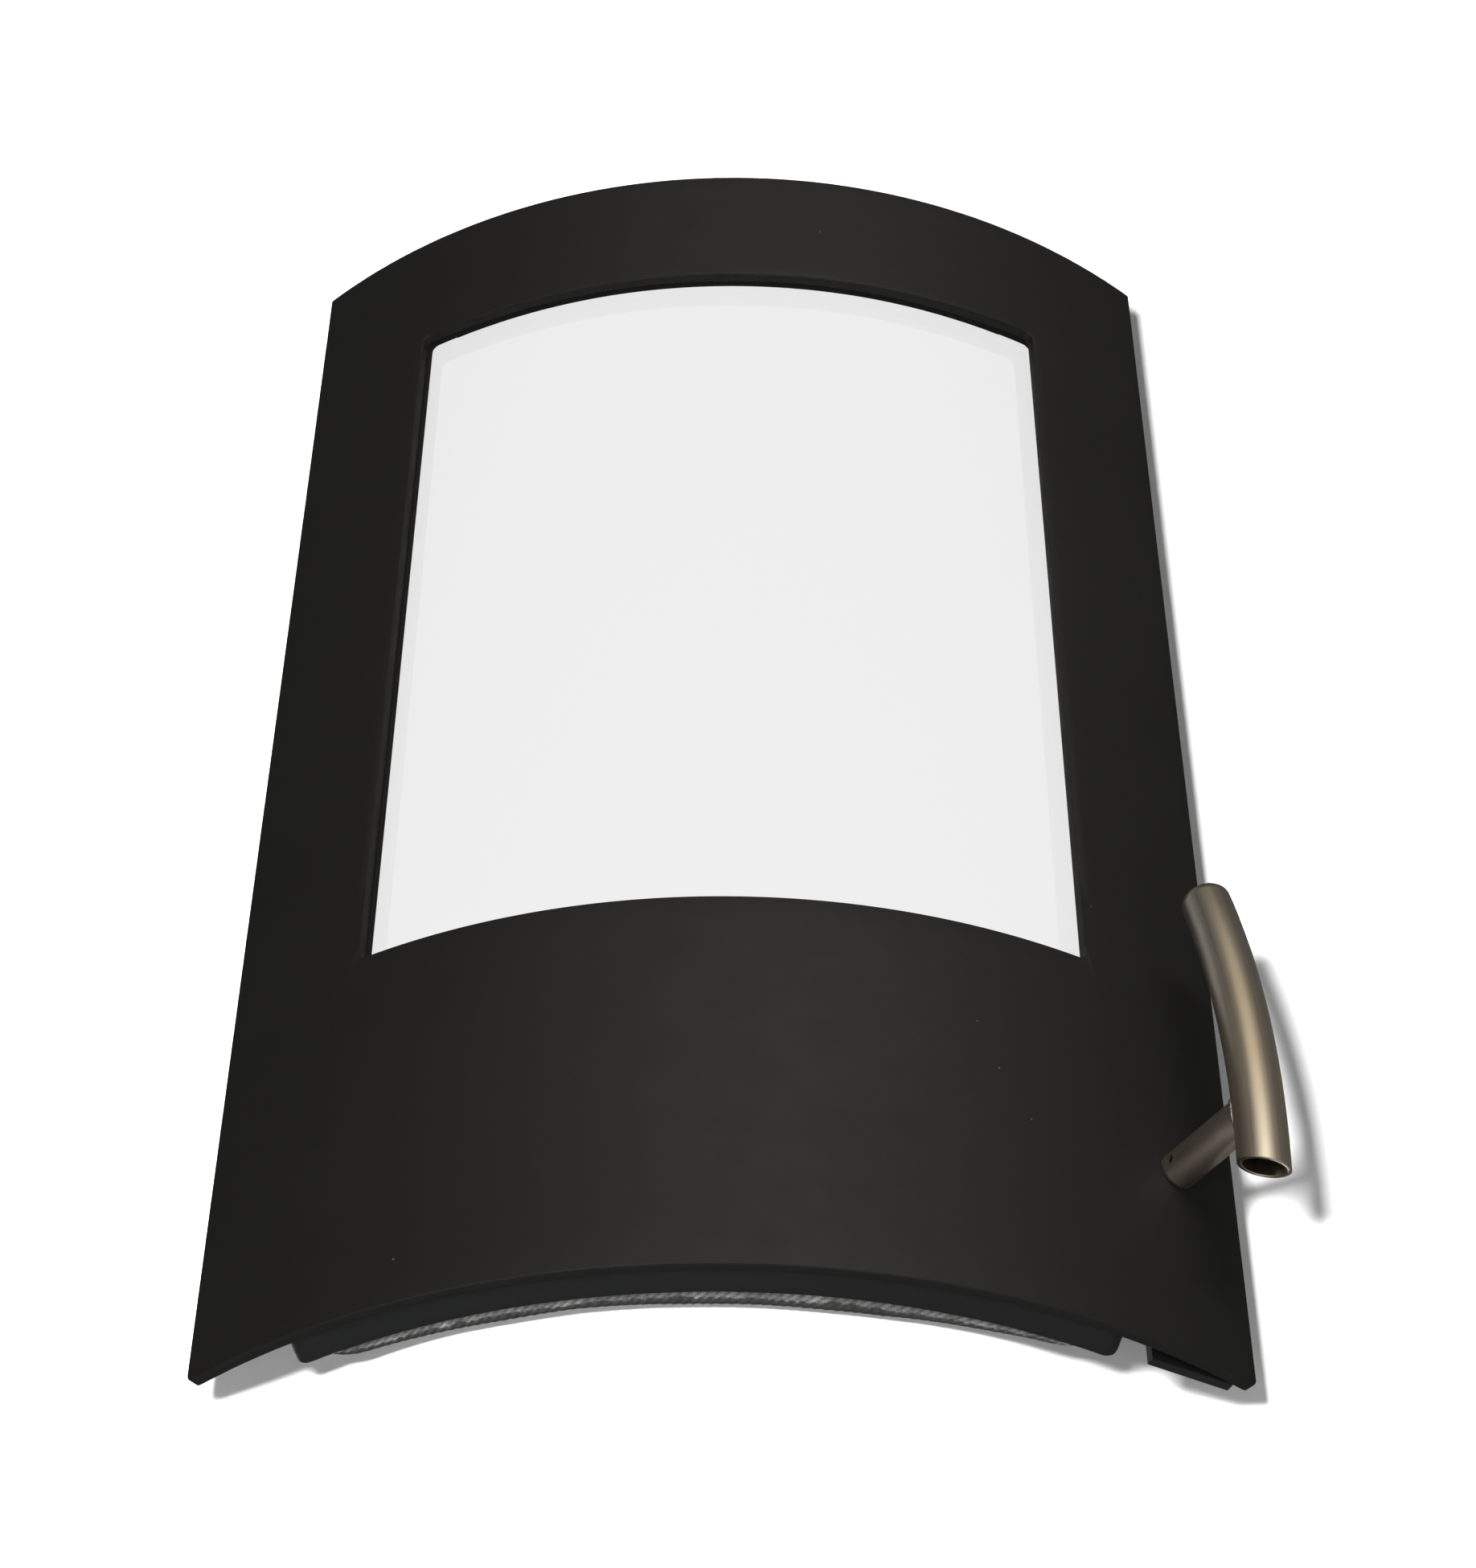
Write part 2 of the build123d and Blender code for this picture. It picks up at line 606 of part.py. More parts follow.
def make_stem_pin():
    """Slotted spring pin that ties the stem to the spindle, sunk at both ends."""
    with BuildPart() as pin:
        with BuildSketch(pin_plane()):
            Circle(PIN_RADIUS)
            Circle(PIN_BORE, mode=Mode.SUBTRACT)
            with Locations((PIN_RADIUS, 0)):
                Rectangle(2 * PIN_RADIUS, PIN_SLOT, mode=Mode.SUBTRACT)
        extrude(amount=PIN_LENGTH / 2, both=True)
    return pin.part


def bow_turn(rise):
    """Angle about the bow's centre, up from its outermost point, at a height above the spindle."""
    return asin((rise - TUBE_BOW_APEX) / TUBE_BOW_RADIUS)


def across_bow(rise):
    """Plane square to the tube's centreline at a height above the spindle, facing up the tube."""
    turn = bow_turn(rise)
    standoff = TUBE_STANDOFF - TUBE_BOW_RADIUS * (1 - cos(turn))
    along = BOW.x_dir * cos(turn) - BOW.y_dir * sin(turn)
    return Plane(BOW.from_local_coords(Vector(rise, standoff, 0)), x_dir=BOW.z_dir, z_dir=along)


def bowed_rod(radius, bore, low):
    """Rod or tube turned about the bow's centre, from a height low to the handle's upper end."""
    centre = BOW.from_local_coords(Vector(TUBE_BOW_APEX, TUBE_STANDOFF - TUBE_BOW_RADIUS, 0))
    turn = degrees(bow_turn(TUBE_HIGH_END) - bow_turn(low))
    with BuildPart() as rod:
        with BuildSketch(across_bow(low)):
            Circle(radius)
            if bore:
                Circle(bore, mode=Mode.SUBTRACT)
        revolve(axis=Axis(centre, BOW.z_dir * -1), revolution_arc=turn)
    return rod.part


def make_handle_tube():
    """Bowed tube, open at both ends. Its lower end is cut on a slant and is longer away from the face."""
    slant = radians(TUBE_LOW_CUT)
    facing_up = BOW.x_dir * cos(slant) + BOW.y_dir * sin(slant)
    low_cut = Plane(across_bow(TUBE_LOW_END).origin, z_dir=facing_up)
    with BuildPart() as tube:
        add(bowed_rod(TUBE_RADIUS, TUBE_RADIUS - TUBE_WALL, TUBE_LOW_END - TUBE_RADIUS))
        split(bisect_by=low_cut, keep=Keep.TOP)
    return tube.part


def make_handle_stem():
    """Round stem with a blind bore for the spindle, its outer end coped to the tube."""
    with BuildPart() as stem:
        with BuildSketch(SPINDLE.offset(STEM_GAP)):
            Circle(STEM_RADIUS)
        extrude(amount=TUBE_STANDOFF - STEM_GAP)
        add(bowed_rod(TUBE_RADIUS, 0, TUBE_LOW_END), mode=Mode.SUBTRACT)
        chamfer(stem.edges().sort_by(Axis(SPINDLE.origin, SPINDLE.z_dir))[0], STEM_CHAMFER)
        with BuildSketch(SPINDLE):
            Circle(STEM_BORE)
        extrude(amount=STEM_BORE_END, mode=Mode.SUBTRACT)
        add(pin_hole(), mode=Mode.SUBTRACT)
    return stem.part


def make_disc(front, thickness, outer, inner):
    """Round washer on the spindle, its front that far behind the face."""
    with BuildPart() as disc:
        with BuildSketch(SPINDLE.offset(-front)):
            Circle(outer)
            Circle(inner, mode=Mode.SUBTRACT)
        extrude(amount=-thickness)
    return disc.part


def make_latch_hook():
    """Flat hook on the spindle's flats. It points to the right at rest and turns clear with the handle."""
    with BuildPart() as hook:
        with BuildSketch(SPINDLE.offset(-HOOK_FRONT)):
            with BuildSketch(mode=Mode.PRIVATE) as outline:
                Circle(HOOK_HUB)
                with Locations((HOOK_REACH, HOOK_RISE)):
                    Circle(HOOK_TIP)
                make_hull()
            add(outline.sketch)
            with Locations((HOOK_REACH - HOOK_TIP, -HOOK_HUB - HOOK_RISE)):
                Circle(HOOK_HUB - HOOK_RISE, mode=Mode.SUBTRACT)
            with BuildSketch(mode=Mode.PRIVATE) as seat:
                Circle(SPINDLE_RADIUS + HOOK_FIT)
                Rectangle(3 * SPINDLE_RADIUS, SPINDLE_FLATS + 2 * HOOK_FIT, mode=Mode.INTERSECT)
            add(seat.sketch, mode=Mode.SUBTRACT)
        extrude(amount=-HOOK)
    return hook.part


def make_latch_nut():
    """Thin hexagon nut on the spindle's threaded end."""
    with BuildPart() as nut:
        with BuildSketch(SPINDLE.offset(-NUT_FRONT)):
            RegularPolygon(LATCH_NUT_ACROSS / 2, 6, major_radius=False)
            Circle(THREAD_RADIUS, mode=Mode.SUBTRACT)
        extrude(amount=-LATCH_NUT_HEIGHT)
    return nut.part


os.makedirs("parts", exist_ok=True)
write(make_face_plate(), "face_plate")
write(make_inner_frame(), "inner_frame")
write(make_door_rope(), "door_rope")
write(make_window_glass(), "window_glass")
write(make_glass_tape(), "glass_tape")
write(make_rear_tapes(), "glass_rear_tapes")
write(make_glass_clamp(1, GLASS_Z), "glass_clamp_bottom")
write(make_glass_clamp(-1, GLASS_TOP_Z), "glass_clamp_top")
write(make_studs(clamp_places(), BACK_RADIUS, CLAMP_STUD_RADIUS, CLAMP_STUD_LENGTH), "clamp_studs")
clamp_seat = BACK_RADIUS - CLAMP_SHEET
nut_size = (CLAMP_STUD_RADIUS, CLAMP_NUT_ACROSS, CLAMP_NUT_HEIGHT)
write(make_nuts(clamp_places(), clamp_seat, *nut_size), "clamp_nuts")
write(make_heat_shield(), "heat_shield")
write(make_shield_spacers(), "shield_spacers")
write(make_studs(shield_places(), SHIELD_RADIUS, SHIELD_STUD_RADIUS, SHIELD_STUD_LENGTH), "shield_studs")
shield_seat = SHIELD_RADIUS - SHIELD_SHEET
nut_size = (SHIELD_STUD_RADIUS, SHIELD_NUT_ACROSS, SHIELD_NUT_HEIGHT)
write(make_nuts(shield_places(), shield_seat, *nut_size), "shield_nuts")
for place, z in (("bottom", 0.0), ("top", HINGE_SPACING)):
    write(make_hinge_lug(z), f"hinge_lug_{place}")
    write(make_hinge_bush(z), f"hinge_bush_{place}")
write(make_latch_plate(), "latch_plate")
write(make_spindle_bush(), "spindle_bush")
write(make_spindle(), "spindle")
write(make_handle_stem(), "handle_stem")
write(make_handle_tube(), "handle_tube")
write(make_stem_pin(), "stem_pin")
write(make_disc(WASHER_FRONT, WASHER, WASHER_RADIUS, SPINDLE_RADIUS + WASHER_FIT), "latch_washer")
write(make_latch_hook(), "latch_hook")
write(make_disc(SPRING_FRONT, SPRING_WASHER, SPRING_RADIUS, THREAD_RADIUS + WASHER_FIT), "spring_washer")
write(make_latch_nut(), "latch_nut")
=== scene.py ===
"""Looks of a curved stove door: black heat paint, a curved window, a brushed bow handle and a rope seal.

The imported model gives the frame, in metres: X runs across the door, Y into the stove and Z up, and the
origin is the centre of the lower hinge bush. Sheets are worked out in the door's own curved coordinates: a
distance across, measured along the face from its middle, a radius about the upright axis of the curve, and
a height.
"""

import json

import bmesh
import bpy
import numpy as np
from mathutils import Matrix, Vector


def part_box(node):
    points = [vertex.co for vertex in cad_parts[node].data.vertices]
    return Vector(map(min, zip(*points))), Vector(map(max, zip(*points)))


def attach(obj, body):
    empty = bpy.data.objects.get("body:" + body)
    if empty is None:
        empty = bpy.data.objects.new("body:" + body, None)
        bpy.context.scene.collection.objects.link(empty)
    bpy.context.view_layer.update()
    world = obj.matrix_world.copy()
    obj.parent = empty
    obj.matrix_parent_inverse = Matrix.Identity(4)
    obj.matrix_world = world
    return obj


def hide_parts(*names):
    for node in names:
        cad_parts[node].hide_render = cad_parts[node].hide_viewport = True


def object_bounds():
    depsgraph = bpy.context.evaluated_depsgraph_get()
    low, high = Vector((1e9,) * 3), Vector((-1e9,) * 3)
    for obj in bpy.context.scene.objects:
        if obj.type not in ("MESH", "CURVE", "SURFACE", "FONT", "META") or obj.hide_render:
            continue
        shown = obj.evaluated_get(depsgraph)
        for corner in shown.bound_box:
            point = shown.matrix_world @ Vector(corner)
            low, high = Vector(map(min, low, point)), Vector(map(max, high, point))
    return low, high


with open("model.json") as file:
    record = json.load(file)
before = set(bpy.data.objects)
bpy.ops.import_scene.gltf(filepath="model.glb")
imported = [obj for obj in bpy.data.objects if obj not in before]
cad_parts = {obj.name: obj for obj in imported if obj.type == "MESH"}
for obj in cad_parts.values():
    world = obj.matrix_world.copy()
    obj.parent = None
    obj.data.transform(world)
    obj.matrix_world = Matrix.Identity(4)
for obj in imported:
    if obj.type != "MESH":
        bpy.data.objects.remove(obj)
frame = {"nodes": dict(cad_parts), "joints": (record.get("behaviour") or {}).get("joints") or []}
cad_low, cad_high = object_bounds()

MM = 0.001
NODES = frame["nodes"]
HANDLE_JOINT = frame["joints"][0]

# The face: a sheet rolled about an upright axis, with a window in it
face_low, face_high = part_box("face_plate")
MIDDLE = (face_low.x + face_high.x) / 2
FOOT, HEAD = face_low.z, face_high.z
FACE_RADIUS = 325.4 * MM
CURVE_AXIS = face_low.y + FACE_RADIUS
PLATE_THICKNESS = 5.0 * MM
BACK_RADIUS = FACE_RADIUS - PLATE_THICKNESS
FACE_EDGE = 0.6 * MM
FOOT_CORNER = 3.5 * MM
HEAD_CORNER = 0.6 * MM
HALF_WINDOW = 153.5 * MM
SILL = FOOT + 193.0 * MM
LINTEL = SILL + 430.5 * MM
WINDOW_CORNER = 4.0 * MM

# The glass, and the tape before it, whose inner edge lies a little to the right of the window's
GLASS_THICKNESS = 4.0 * MM
GLASS_EDGE = 0.4 * MM
GLASS_CORNER = 5.0 * MM
TAPE_THICKNESS = 3.0 * MM
TAPE_WIDTH = 9.0 * MM
TAPE_LEFT = 0.8 * MM
TAPE_RIGHT = 2.2 * MM

# The folded inner frame: its outer wall leans inwards, and its right side steps in beside the latch
frame_low, frame_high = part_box("inner_frame")
FRAME_FOOT, FRAME_HEAD = frame_low.z, frame_high.z
FRAME_SHEET = 2.0 * MM
LIP_RADIUS = BACK_RADIUS - 16.7 * MM
INNER_WALL_DEPTH = 8.2 * MM
SIDE_DEPTH = CURVE_AXIS - np.sqrt(FACE_RADIUS**2 - (face_high.x - MIDDLE) ** 2)
WALL_BEFORE_SIDE = 24.0 * MM
WALL_MEETS = SIDE_DEPTH - WALL_BEFORE_SIDE
WALL_LEAN = np.tan(np.radians(10.0))
WALL_GAP = 0.05 * MM
FRAME_LEFT = 170.0 * MM
FRAME_RIGHT = 170.0 * MM
FRAME_RIGHT_LOW = 157.3 * MM
FRAME_CORNER = 8.0 * MM
FRAME_BEND = 2.2 * MM
OPENING_LEFT = 151.0 * MM
OPENING_RIGHT = 152.5 * MM
OPENING_RIGHT_LOW = 139.5 * MM
OPENING_INSET = 16.0 * MM
OPENING_CORNER = 14.0 * MM

# The step, and how far its corners rise for each unit of inset: the tangent of half of the step's turn
STEP_FROM = FOOT + 150.0 * MM
STEP_TO = FOOT + 175.0 * MM
STEP_SHIFT = 0.24

# The rope on the frame's lip, and how much fuller it is at places across the foot
ROPE_HALF_WIDTH = 6.5 * MM
ROPE_HALF_DEPTH = 4.9 * MM
ROPE_GAP = 0.8 * MM
ROPE_FOOT_TOP = FOOT + 60 * MM
ROPE_FOOT_BLEND = 30 * MM
ROPE_PLACES = MM * np.array([-150, -138, -118, -84, -55, -35, -14, 35, 64, 95, 107, 120, 130])
ROPE_FULLER = MM * np.array([-1.7, -1.3, -0.8, -0.4, -0.85, -0.1, 0.45, 0.25, 0.4, -1.1, -1.9, -3.1, -3.8])

# The rope's stitches: their length and depth, their rows, and what shapes their crowns
STITCH = 3.9 * MM
STITCH_DEPTH = 0.55 * MM
STITCH_ROWS = 7
STITCH_TURNS = 9
ROW_SWAY = 0.5
STITCH_SWAY = 0.6
CROWN_POWER = 0.7
CROWN_LEAST = 0.45
CROWN_FADE = 0.2

# Slow waves along the rope. Each is a height, a wave's length over 2 pi, and a phase
ROPE_DRIFT = ((0.9, 0.013, 0.0), (0.6, 0.0047, 1.0))
ROPE_SWELL = ((0.22 * MM, 0.041, 0.0), (0.22 * MM, 0.0163, 1.0))
ROPE_WANDER = ((0.3 * MM, 0.057, 0.6),)
FADE_WAVE = 0.0113
FADE_DRIFT = ((1.7, 0.031, 0.0),)
SWELL_IN_DEPTH = 0.4

# The handle: its axis, its stem and its bowed tube, with heights from the spindle
SPINDLE = np.array(HANDLE_JOINT["pos_m"])
OUT = -np.array(HANDLE_JOINT["axis"])
UP = np.array([0.0, 0.0, 1.0])
ALONG_FACE = np.cross(OUT, UP)
TUBE_RADIUS = 10.6 * MM
TUBE_WALL = 2.0 * MM
TUBE_EDGE = 0.35 * MM
STAND_OFF = 51.0 * MM
BOW_RADIUS = 495.0 * MM
BOW_APEX = -0.5 * MM
TUBE_LOW = -31.6 * MM
TUBE_HIGH = 123.2 * MM
TUBE_SLANT = np.radians(24.0)
STEM_RADIUS = 8.0 * MM

# Weld beads: their radii, their ripples' length and share of the radius, and where the lugs' beads run
STEM_BEAD = 0.9 * MM
LUG_BEAD = 1.6 * MM
LUG_BEAD_SUNK = 0.2 * MM
WELD_RIPPLE = 2.2 * MM
RIPPLE_SHARE = 0.14
NEARLY_UPRIGHT = 0.2
LUG_FROM = -200.0 * MM
LUG_TO = -176.0 * MM

# How meshes are merged, and the degrees above which their edges stay sharp
MERGE_GAP = 2e-6
FLAT_ANGLE = np.radians(0.4)
SHEET_SHARP = 35.0
CAD_SHARP = 30.0
TUBE_SHARP = 50.0
ROUND_SHARP = 80.0

# Counts: spans across a sheet, points on outlines and round sections, and rings along tube, rope and beads
SHEET_SPANS = 14
FRAME_RUN = 44
FRAME_ARC = 9
ROPE_AROUND = 40
ROPE_ALONG = 2400
TUBE_AROUND = 96
TUBE_RINGS = 61
BORE_RINGS = 41
BEAD_AROUND = 14
STEM_BEAD_RINGS = 120
LUG_BEAD_RINGS = 40

# The small round edges of the pieces that keep their CAD shape
CAD_EDGE = 0.25 * MM
STEM_EDGE = 0.2 * MM
LATCH_EDGE = 0.15 * MM
PIN_EDGE = 0.1 * MM


def on_curve(across, radius, height):
    """Points of the door's curve: the angle is the distance across over the face's radius."""
    angle = np.asarray(across) / FACE_RADIUS
    x = MIDDLE + radius * np.sin(angle)
    y = CURVE_AXIS - radius * np.cos(angle)
    return np.stack(np.broadcast_arrays(x, y, height), -1)


def across_at(x, radius):
    """Distance across, along the face, of a point that is x to the right of the middle at a radius."""
    return np.arcsin(x / radius) * FACE_RADIUS


def front_view(points):
    """Points as they are seen from the front: the distance from the middle, and the height."""
    return points[:, [0, 2]] - [MIDDLE, 0]


def outline(corners, radii, run=56, bend=10):
    """Closed outline through corners, each a round arc of its own radius, with equal counts of points.

    The arc at a corner is tangent to both runs: it starts radius * tan(turn / 2) before the corner.
    """
    corners = np.asarray(corners, float)
    before = corners - np.roll(corners, 1, 0)
    after = np.roll(corners, -1, 0) - corners
    before /= np.linalg.norm(before, axis=1)[:, None]
    after /= np.linalg.norm(after, axis=1)[:, None]
    side = before[:, 0] * after[:, 1] - before[:, 1] * after[:, 0]
    turn = np.arctan2(side, (before * after).sum(1))
    radii = np.asarray(radii, float)
    reach = radii * np.tan(np.abs(turn) / 2)
    normal = np.stack([-before[:, 1], before[:, 0]], 1) * np.sign(turn)[:, None]
    start = corners - before * reach[:, None]
    centre = start + normal * radii[:, None]
    share = np.linspace(0, 1, bend)[None, :] * turn[:, None]
    arm = start - centre
    cos, sin = np.cos(share), np.sin(share)
    arc = np.stack(
        [arm[:, :1] * cos - arm[:, 1:] * sin, arm[:, :1] * sin + arm[:, 1:] * cos], -1
    )
    arc += centre[:, None, :]
    ends = np.roll(arc[:, 0], -1, 0)
    steps = np.linspace(0, 1, run + 2)[1:-1][None, :, None]
    runs = arc[:, -1:, :] * (1 - steps) + ends[:, None, :] * steps
    return np.concatenate([arc, runs], 1).reshape(-1, 2)


def box_outline(left, right, low, high, low_corner, high_corner):
    """Outline of a four-sided sheet, anticlockwise from its lower left corner."""
    corners = [(left, low), (right, low), (right, high), (left, high)]
    return outline(corners, [low_corner, low_corner, high_corner, high_corner])


def surface(name, points, close_rows=False, uv=None):
    """Mesh of four-sided faces over a grid of points, merged where its ends or seams meet.

    Every row closes into a ring, and with close_rows the last row joins the first. uv holds one value for
    each column and one for each row, with one more of each where they close.
    """
    rows, columns = points.shape[:2]
    index = np.arange(rows * columns).reshape(rows, columns)
    if close_rows:
        index = np.vstack([index, index[:1]])
    index = np.hstack([index, index[:, :1]])
    faces = np.stack([index[:-1, :-1], index[1:, :-1], index[1:, 1:], index[:-1, 1:]], -1).reshape(-1, 4)
    mesh = bpy.data.meshes.new(name)
    mesh.vertices.add(rows * columns)
    mesh.vertices.foreach_set("co", points.astype(np.float32).ravel())
    mesh.loops.add(faces.size)
    mesh.loops.foreach_set("vertex_index", faces.astype(np.int32).ravel())
    mesh.polygons.add(len(faces))
    mesh.polygons.foreach_set("loop_start", np.arange(0, faces.size, 4, dtype=np.int32))
    mesh.update(calc_edges=True)
    if uv is not None:
        u, v = np.meshgrid(uv[0], uv[1])
        grid = np.stack([u, v], -1)
        corners = np.stack([grid[:-1, :-1], grid[1:, :-1], grid[1:, 1:], grid[:-1, 1:]], 2)
        layer = mesh.uv_layers.new(name="surface")
        layer.data.foreach_set("uv", corners.astype(np.float32).ravel())
    return closed(mesh)


def closed(mesh):
    """Merges doubled points, drops faces with no area and turns every face outwards."""
    bm = bmesh.new()
    bm.from_mesh(mesh)
    bmesh.ops.remove_doubles(bm, verts=bm.verts, dist=MERGE_GAP)
    bmesh.ops.dissolve_degenerate(bm, edges=bm.edges, dist=MERGE_GAP)
    bmesh.ops.recalc_face_normals(bm, faces=bm.faces)
    bm.to_mesh(mesh)
    bm.free()
    return mesh


def piece(name, mesh, finish, body="door", stands_for=(), sharp=SHEET_SHARP):
    """Object for a finished mesh: smooth up to an angle, with its finish, slot, body and CAD nodes."""
    mesh.shade_smooth()
    mesh.set_sharp_from_angle(angle=np.radians(sharp))
    mesh.materials.clear()
    mesh.materials.append(finish)
    made = bpy.data.objects.new(name, mesh)
    bpy.context.scene.collection.objects.link(made)
    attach(made, body)
    if stands_for:
        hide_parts(*stands_for)
    return made


def quarter(steps=4):
    """Inset and drop of a unit round edge: 1 - cos and 1 - sin of a quarter turn."""
    turn = np.linspace(0, np.pi / 2, steps)
    return list(zip(1 - np.cos(turn), 1 - np.sin(turn)))


def sheet_loops(front, back, edge):
    """Loops round a sheet's section: over its front, round its window's edge, and over its back.

    Each is a share of the way from the outer outline to the inner one, an inset and a radius.
    """
    round_edge = quarter()
    shares = np.linspace(0, 1, SHEET_SPANS + 1)[1:-1]
    over_front = [(0, edge * inset, front - edge * drop) for inset, drop in round_edge]
    over_front += [(share, 0, front) for share in shares]
    round_window = [(1, -edge * inset, front - edge * drop) for inset, drop in reversed(round_edge)]
    round_window += [(1, -edge * inset, back + edge * drop) for inset, drop in round_edge]
    over_back = [(share, 0, back) for share in reversed(shares)]
    over_back += [(0, edge * inset, back + edge * drop) for inset, drop in reversed(round_edge)]
    return over_front, round_window, over_back


def loop_points(outer, inner, loops):
    """Points on the curve, a row for each loop, between two outlines and moved inwards by its inset."""
    between = inner - outer
    towards = between / np.maximum(np.linalg.norm(between, axis=1), 1e-9)[:, None]
    rows = []
    for share, inset, radius in loops:
        flat = outer + share * between + inset * towards
        rows.append(on_curve(flat[:, 0], radius, flat[:, 1]))
    return np.array(rows)


def window_sheet(name, outer, inner, front, back, edge):
    """Curved sheet with a window in it and round edges: a closed ring of loops between two outlines."""
    over_front, round_window, over_back = sheet_loops(front, back, edge)
    return surface(name, loop_points(outer, inner, over_front + round_window + over_back), close_rows=True)


def plain_sheet(name, outer, front, back, edge):
    """Curved sheet with no window: its loops close onto its own upright middle line.

    That line ends a tenth of the sheet's height before its top and its foot.
    """
    low, high = outer[:, 1].min(), outer[:, 1].max()
    inset = (high - low) * 0.1
    heights = np.clip(outer[:, 1], low + inset, high - inset)
    middle_line = np.stack([np.full(len(outer), outer[:, 0].mean()), heights], 1)
    over_front, _, over_back = sheet_loops(front, back, edge)
    loops = [(1, 0, front)] + over_front[::-1] + over_back[::-1] + [(1, 0, back)]
    return surface(name, loop_points(outer, middle_line, loops))


def refined(node):
    """Copy of a CAD node's mesh, merged and with its flat faces made whole, ready for round edges."""
    mesh = NODES[node].data.copy()
    mesh.name = node
    bm = bmesh.new()
    bm.from_mesh(mesh)
    bmesh.ops.remove_doubles(bm, verts=bm.verts, dist=MERGE_GAP)
    bmesh.ops.dissolve_limit(bm, angle_limit=FLAT_ANGLE, verts=bm.verts, edges=bm.edges)
    bm.to_mesh(mesh)
    bm.free()
    return mesh


def dress(node, finish, body="door", edge=CAD_EDGE):
    """The CAD node's own shape with small round edges, in its finish. Its name gains the word finished."""
    made = piece(f"{node}_finished", refined(node), finish, body, (node,), CAD_SHARP)
    bevel = made.modifiers.new("round edges", "BEVEL")
    bevel.width = edge
    bevel.segments = 2
    bevel.limit_method = "ANGLE"
    bevel.angle_limit = np.radians(CAD_SHARP)
    bevel.harden_normals = True
    return made


def add_node(tree, kind, values=None, **settings):
    """Adds a node to a tree, sets its properties, and links or sets its inputs by name or number."""
    made = tree.nodes.new(kind)
    for name, value in settings.items():
        setattr(made, name, value)
    for key, value in (values or {}).items():
        if isinstance(value, bpy.types.NodeSocket):
            tree.links.new(value, made.inputs[key])
        else:
            made.inputs[key].default_value = value
    return made


class Graph:
    """Short forms for making a material's nodes."""

    def __init__(self, name, **sockets):
        self.material = bpy.data.materials.new(name)
        self.material.use_nodes = True
        self.tree = self.material.node_tree
        self.shader = self.tree.nodes["Principled BSDF"]
        for socket, value in sockets.items():
            self.shader.inputs[socket.replace("_", " ")].default_value = value

    def add(self, kind, values=None, **settings):
        """Adds a node, with its properties and inputs."""
        return add_node(self.tree, kind, values, **settings)

    def place(self):
        """Object coordinates of the piece."""
        return self.add("ShaderNodeTexCoord").outputs["Object"]

    def stretched(self, vector, scale):
        """A vector scaled along each axis."""
        return self.add("ShaderNodeMapping", {"Vector": vector, "Scale": scale}).outputs[0]

    def noise(self, vector, scale, detail=3.0, rough=0.5):
        """Noise from 0 to 1."""
        values = {"Vector": vector, "Scale": scale, "Detail": detail, "Roughness": rough}
        return self.add("ShaderNodeTexNoise", values).outputs["Fac"]

    def span(self, value, low, high, to_low, to_high):
        """Maps a range of values onto another, clamped at both ends."""
        values = {0: value, 1: low, 2: high, 3: to_low, 4: to_high}
        return self.add("ShaderNodeMapRange", values).outputs[0]

    def math(self, operation, first, second=0.0):
        """One operation on a value, or on two."""
        return self.add("ShaderNodeMath", {0: first, 1: second}, operation=operation).outputs[0]

    def mix(self, share, first, second):
        """Colour between two colours."""
        made = self.add("ShaderNodeMix", data_type="RGBA")
        for key, value in (("Factor", share), ("A", first), ("B", second)):
            socket = next(each for each in made.inputs if each.name == key and each.enabled)
            if isinstance(value, bpy.types.NodeSocket):
                self.tree.links.new(value, socket)
            else:
                socket.default_value = value
        return next(each for each in made.outputs if each.enabled)

    def cloudy(self, value, first, second):
        """Colour between two colours, by the middle part of a noise."""
        return self.mix(self.span(value, 0.3, 0.7, 0.0, 1.0), first, second)

    def bump(self, height, distance, strength=1.0, under=None):
        """Bumped normal of a height, on top of another normal where one is given."""
        values = {"Height": height, "Distance": distance, "Strength": strength}
        if under is not None:
            values["Normal"] = under
        return self.add("ShaderNodeBump", values).outputs[0]

    def feed(self, **sockets):
        """Links outputs to the shader's sockets, and gives the material."""
        for socket, output in sockets.items():
            self.tree.links.new(output, self.shader.inputs[socket.replace("_", " ")])
        return self.material


def colour(value, warm=0.0):
    """Grey of a value, a little warmer where warm is above 0."""
    return (value * (1 + warm), value, value * (1 - warm), 1.0)


def heat_paint(name, dark, light, rough, specks=()):
    """Satin black heat paint: cloudy colour, a fine sprayed grain, and specks of dust where they are given.

    A speck fades out from two fifths of its size to its whole size.
    """
    look = Graph(name, Specular_IOR_Level=0.28)
    place = look.place()
    tone = look.cloudy(look.noise(place, 7.0, 4.0, 0.6), dark, light)
    for centre, size in specks:
        away = look.add("ShaderNodeVectorMath", {0: place, 1: centre}, operation="DISTANCE")
        fade = look.span(away.outputs["Value"], size * 0.4, size, 1.0, 0.0)
        tone = look.mix(fade, tone, DUST_COLOUR)
    streak = look.noise(place, 38.0, 5.0, 0.65)
    orange_peel = look.bump(look.noise(place, 420.0, 2.0), 0.04 * MM, 0.6)
    return look.feed(
        Base_Color=tone,
        Roughness=look.span(streak, 0.3, 0.7, rough[0], rough[1]),
        Normal=look.bump(look.noise(place, 1100.0, 2.0), 0.03 * MM, 0.7, orange_peel),
    )


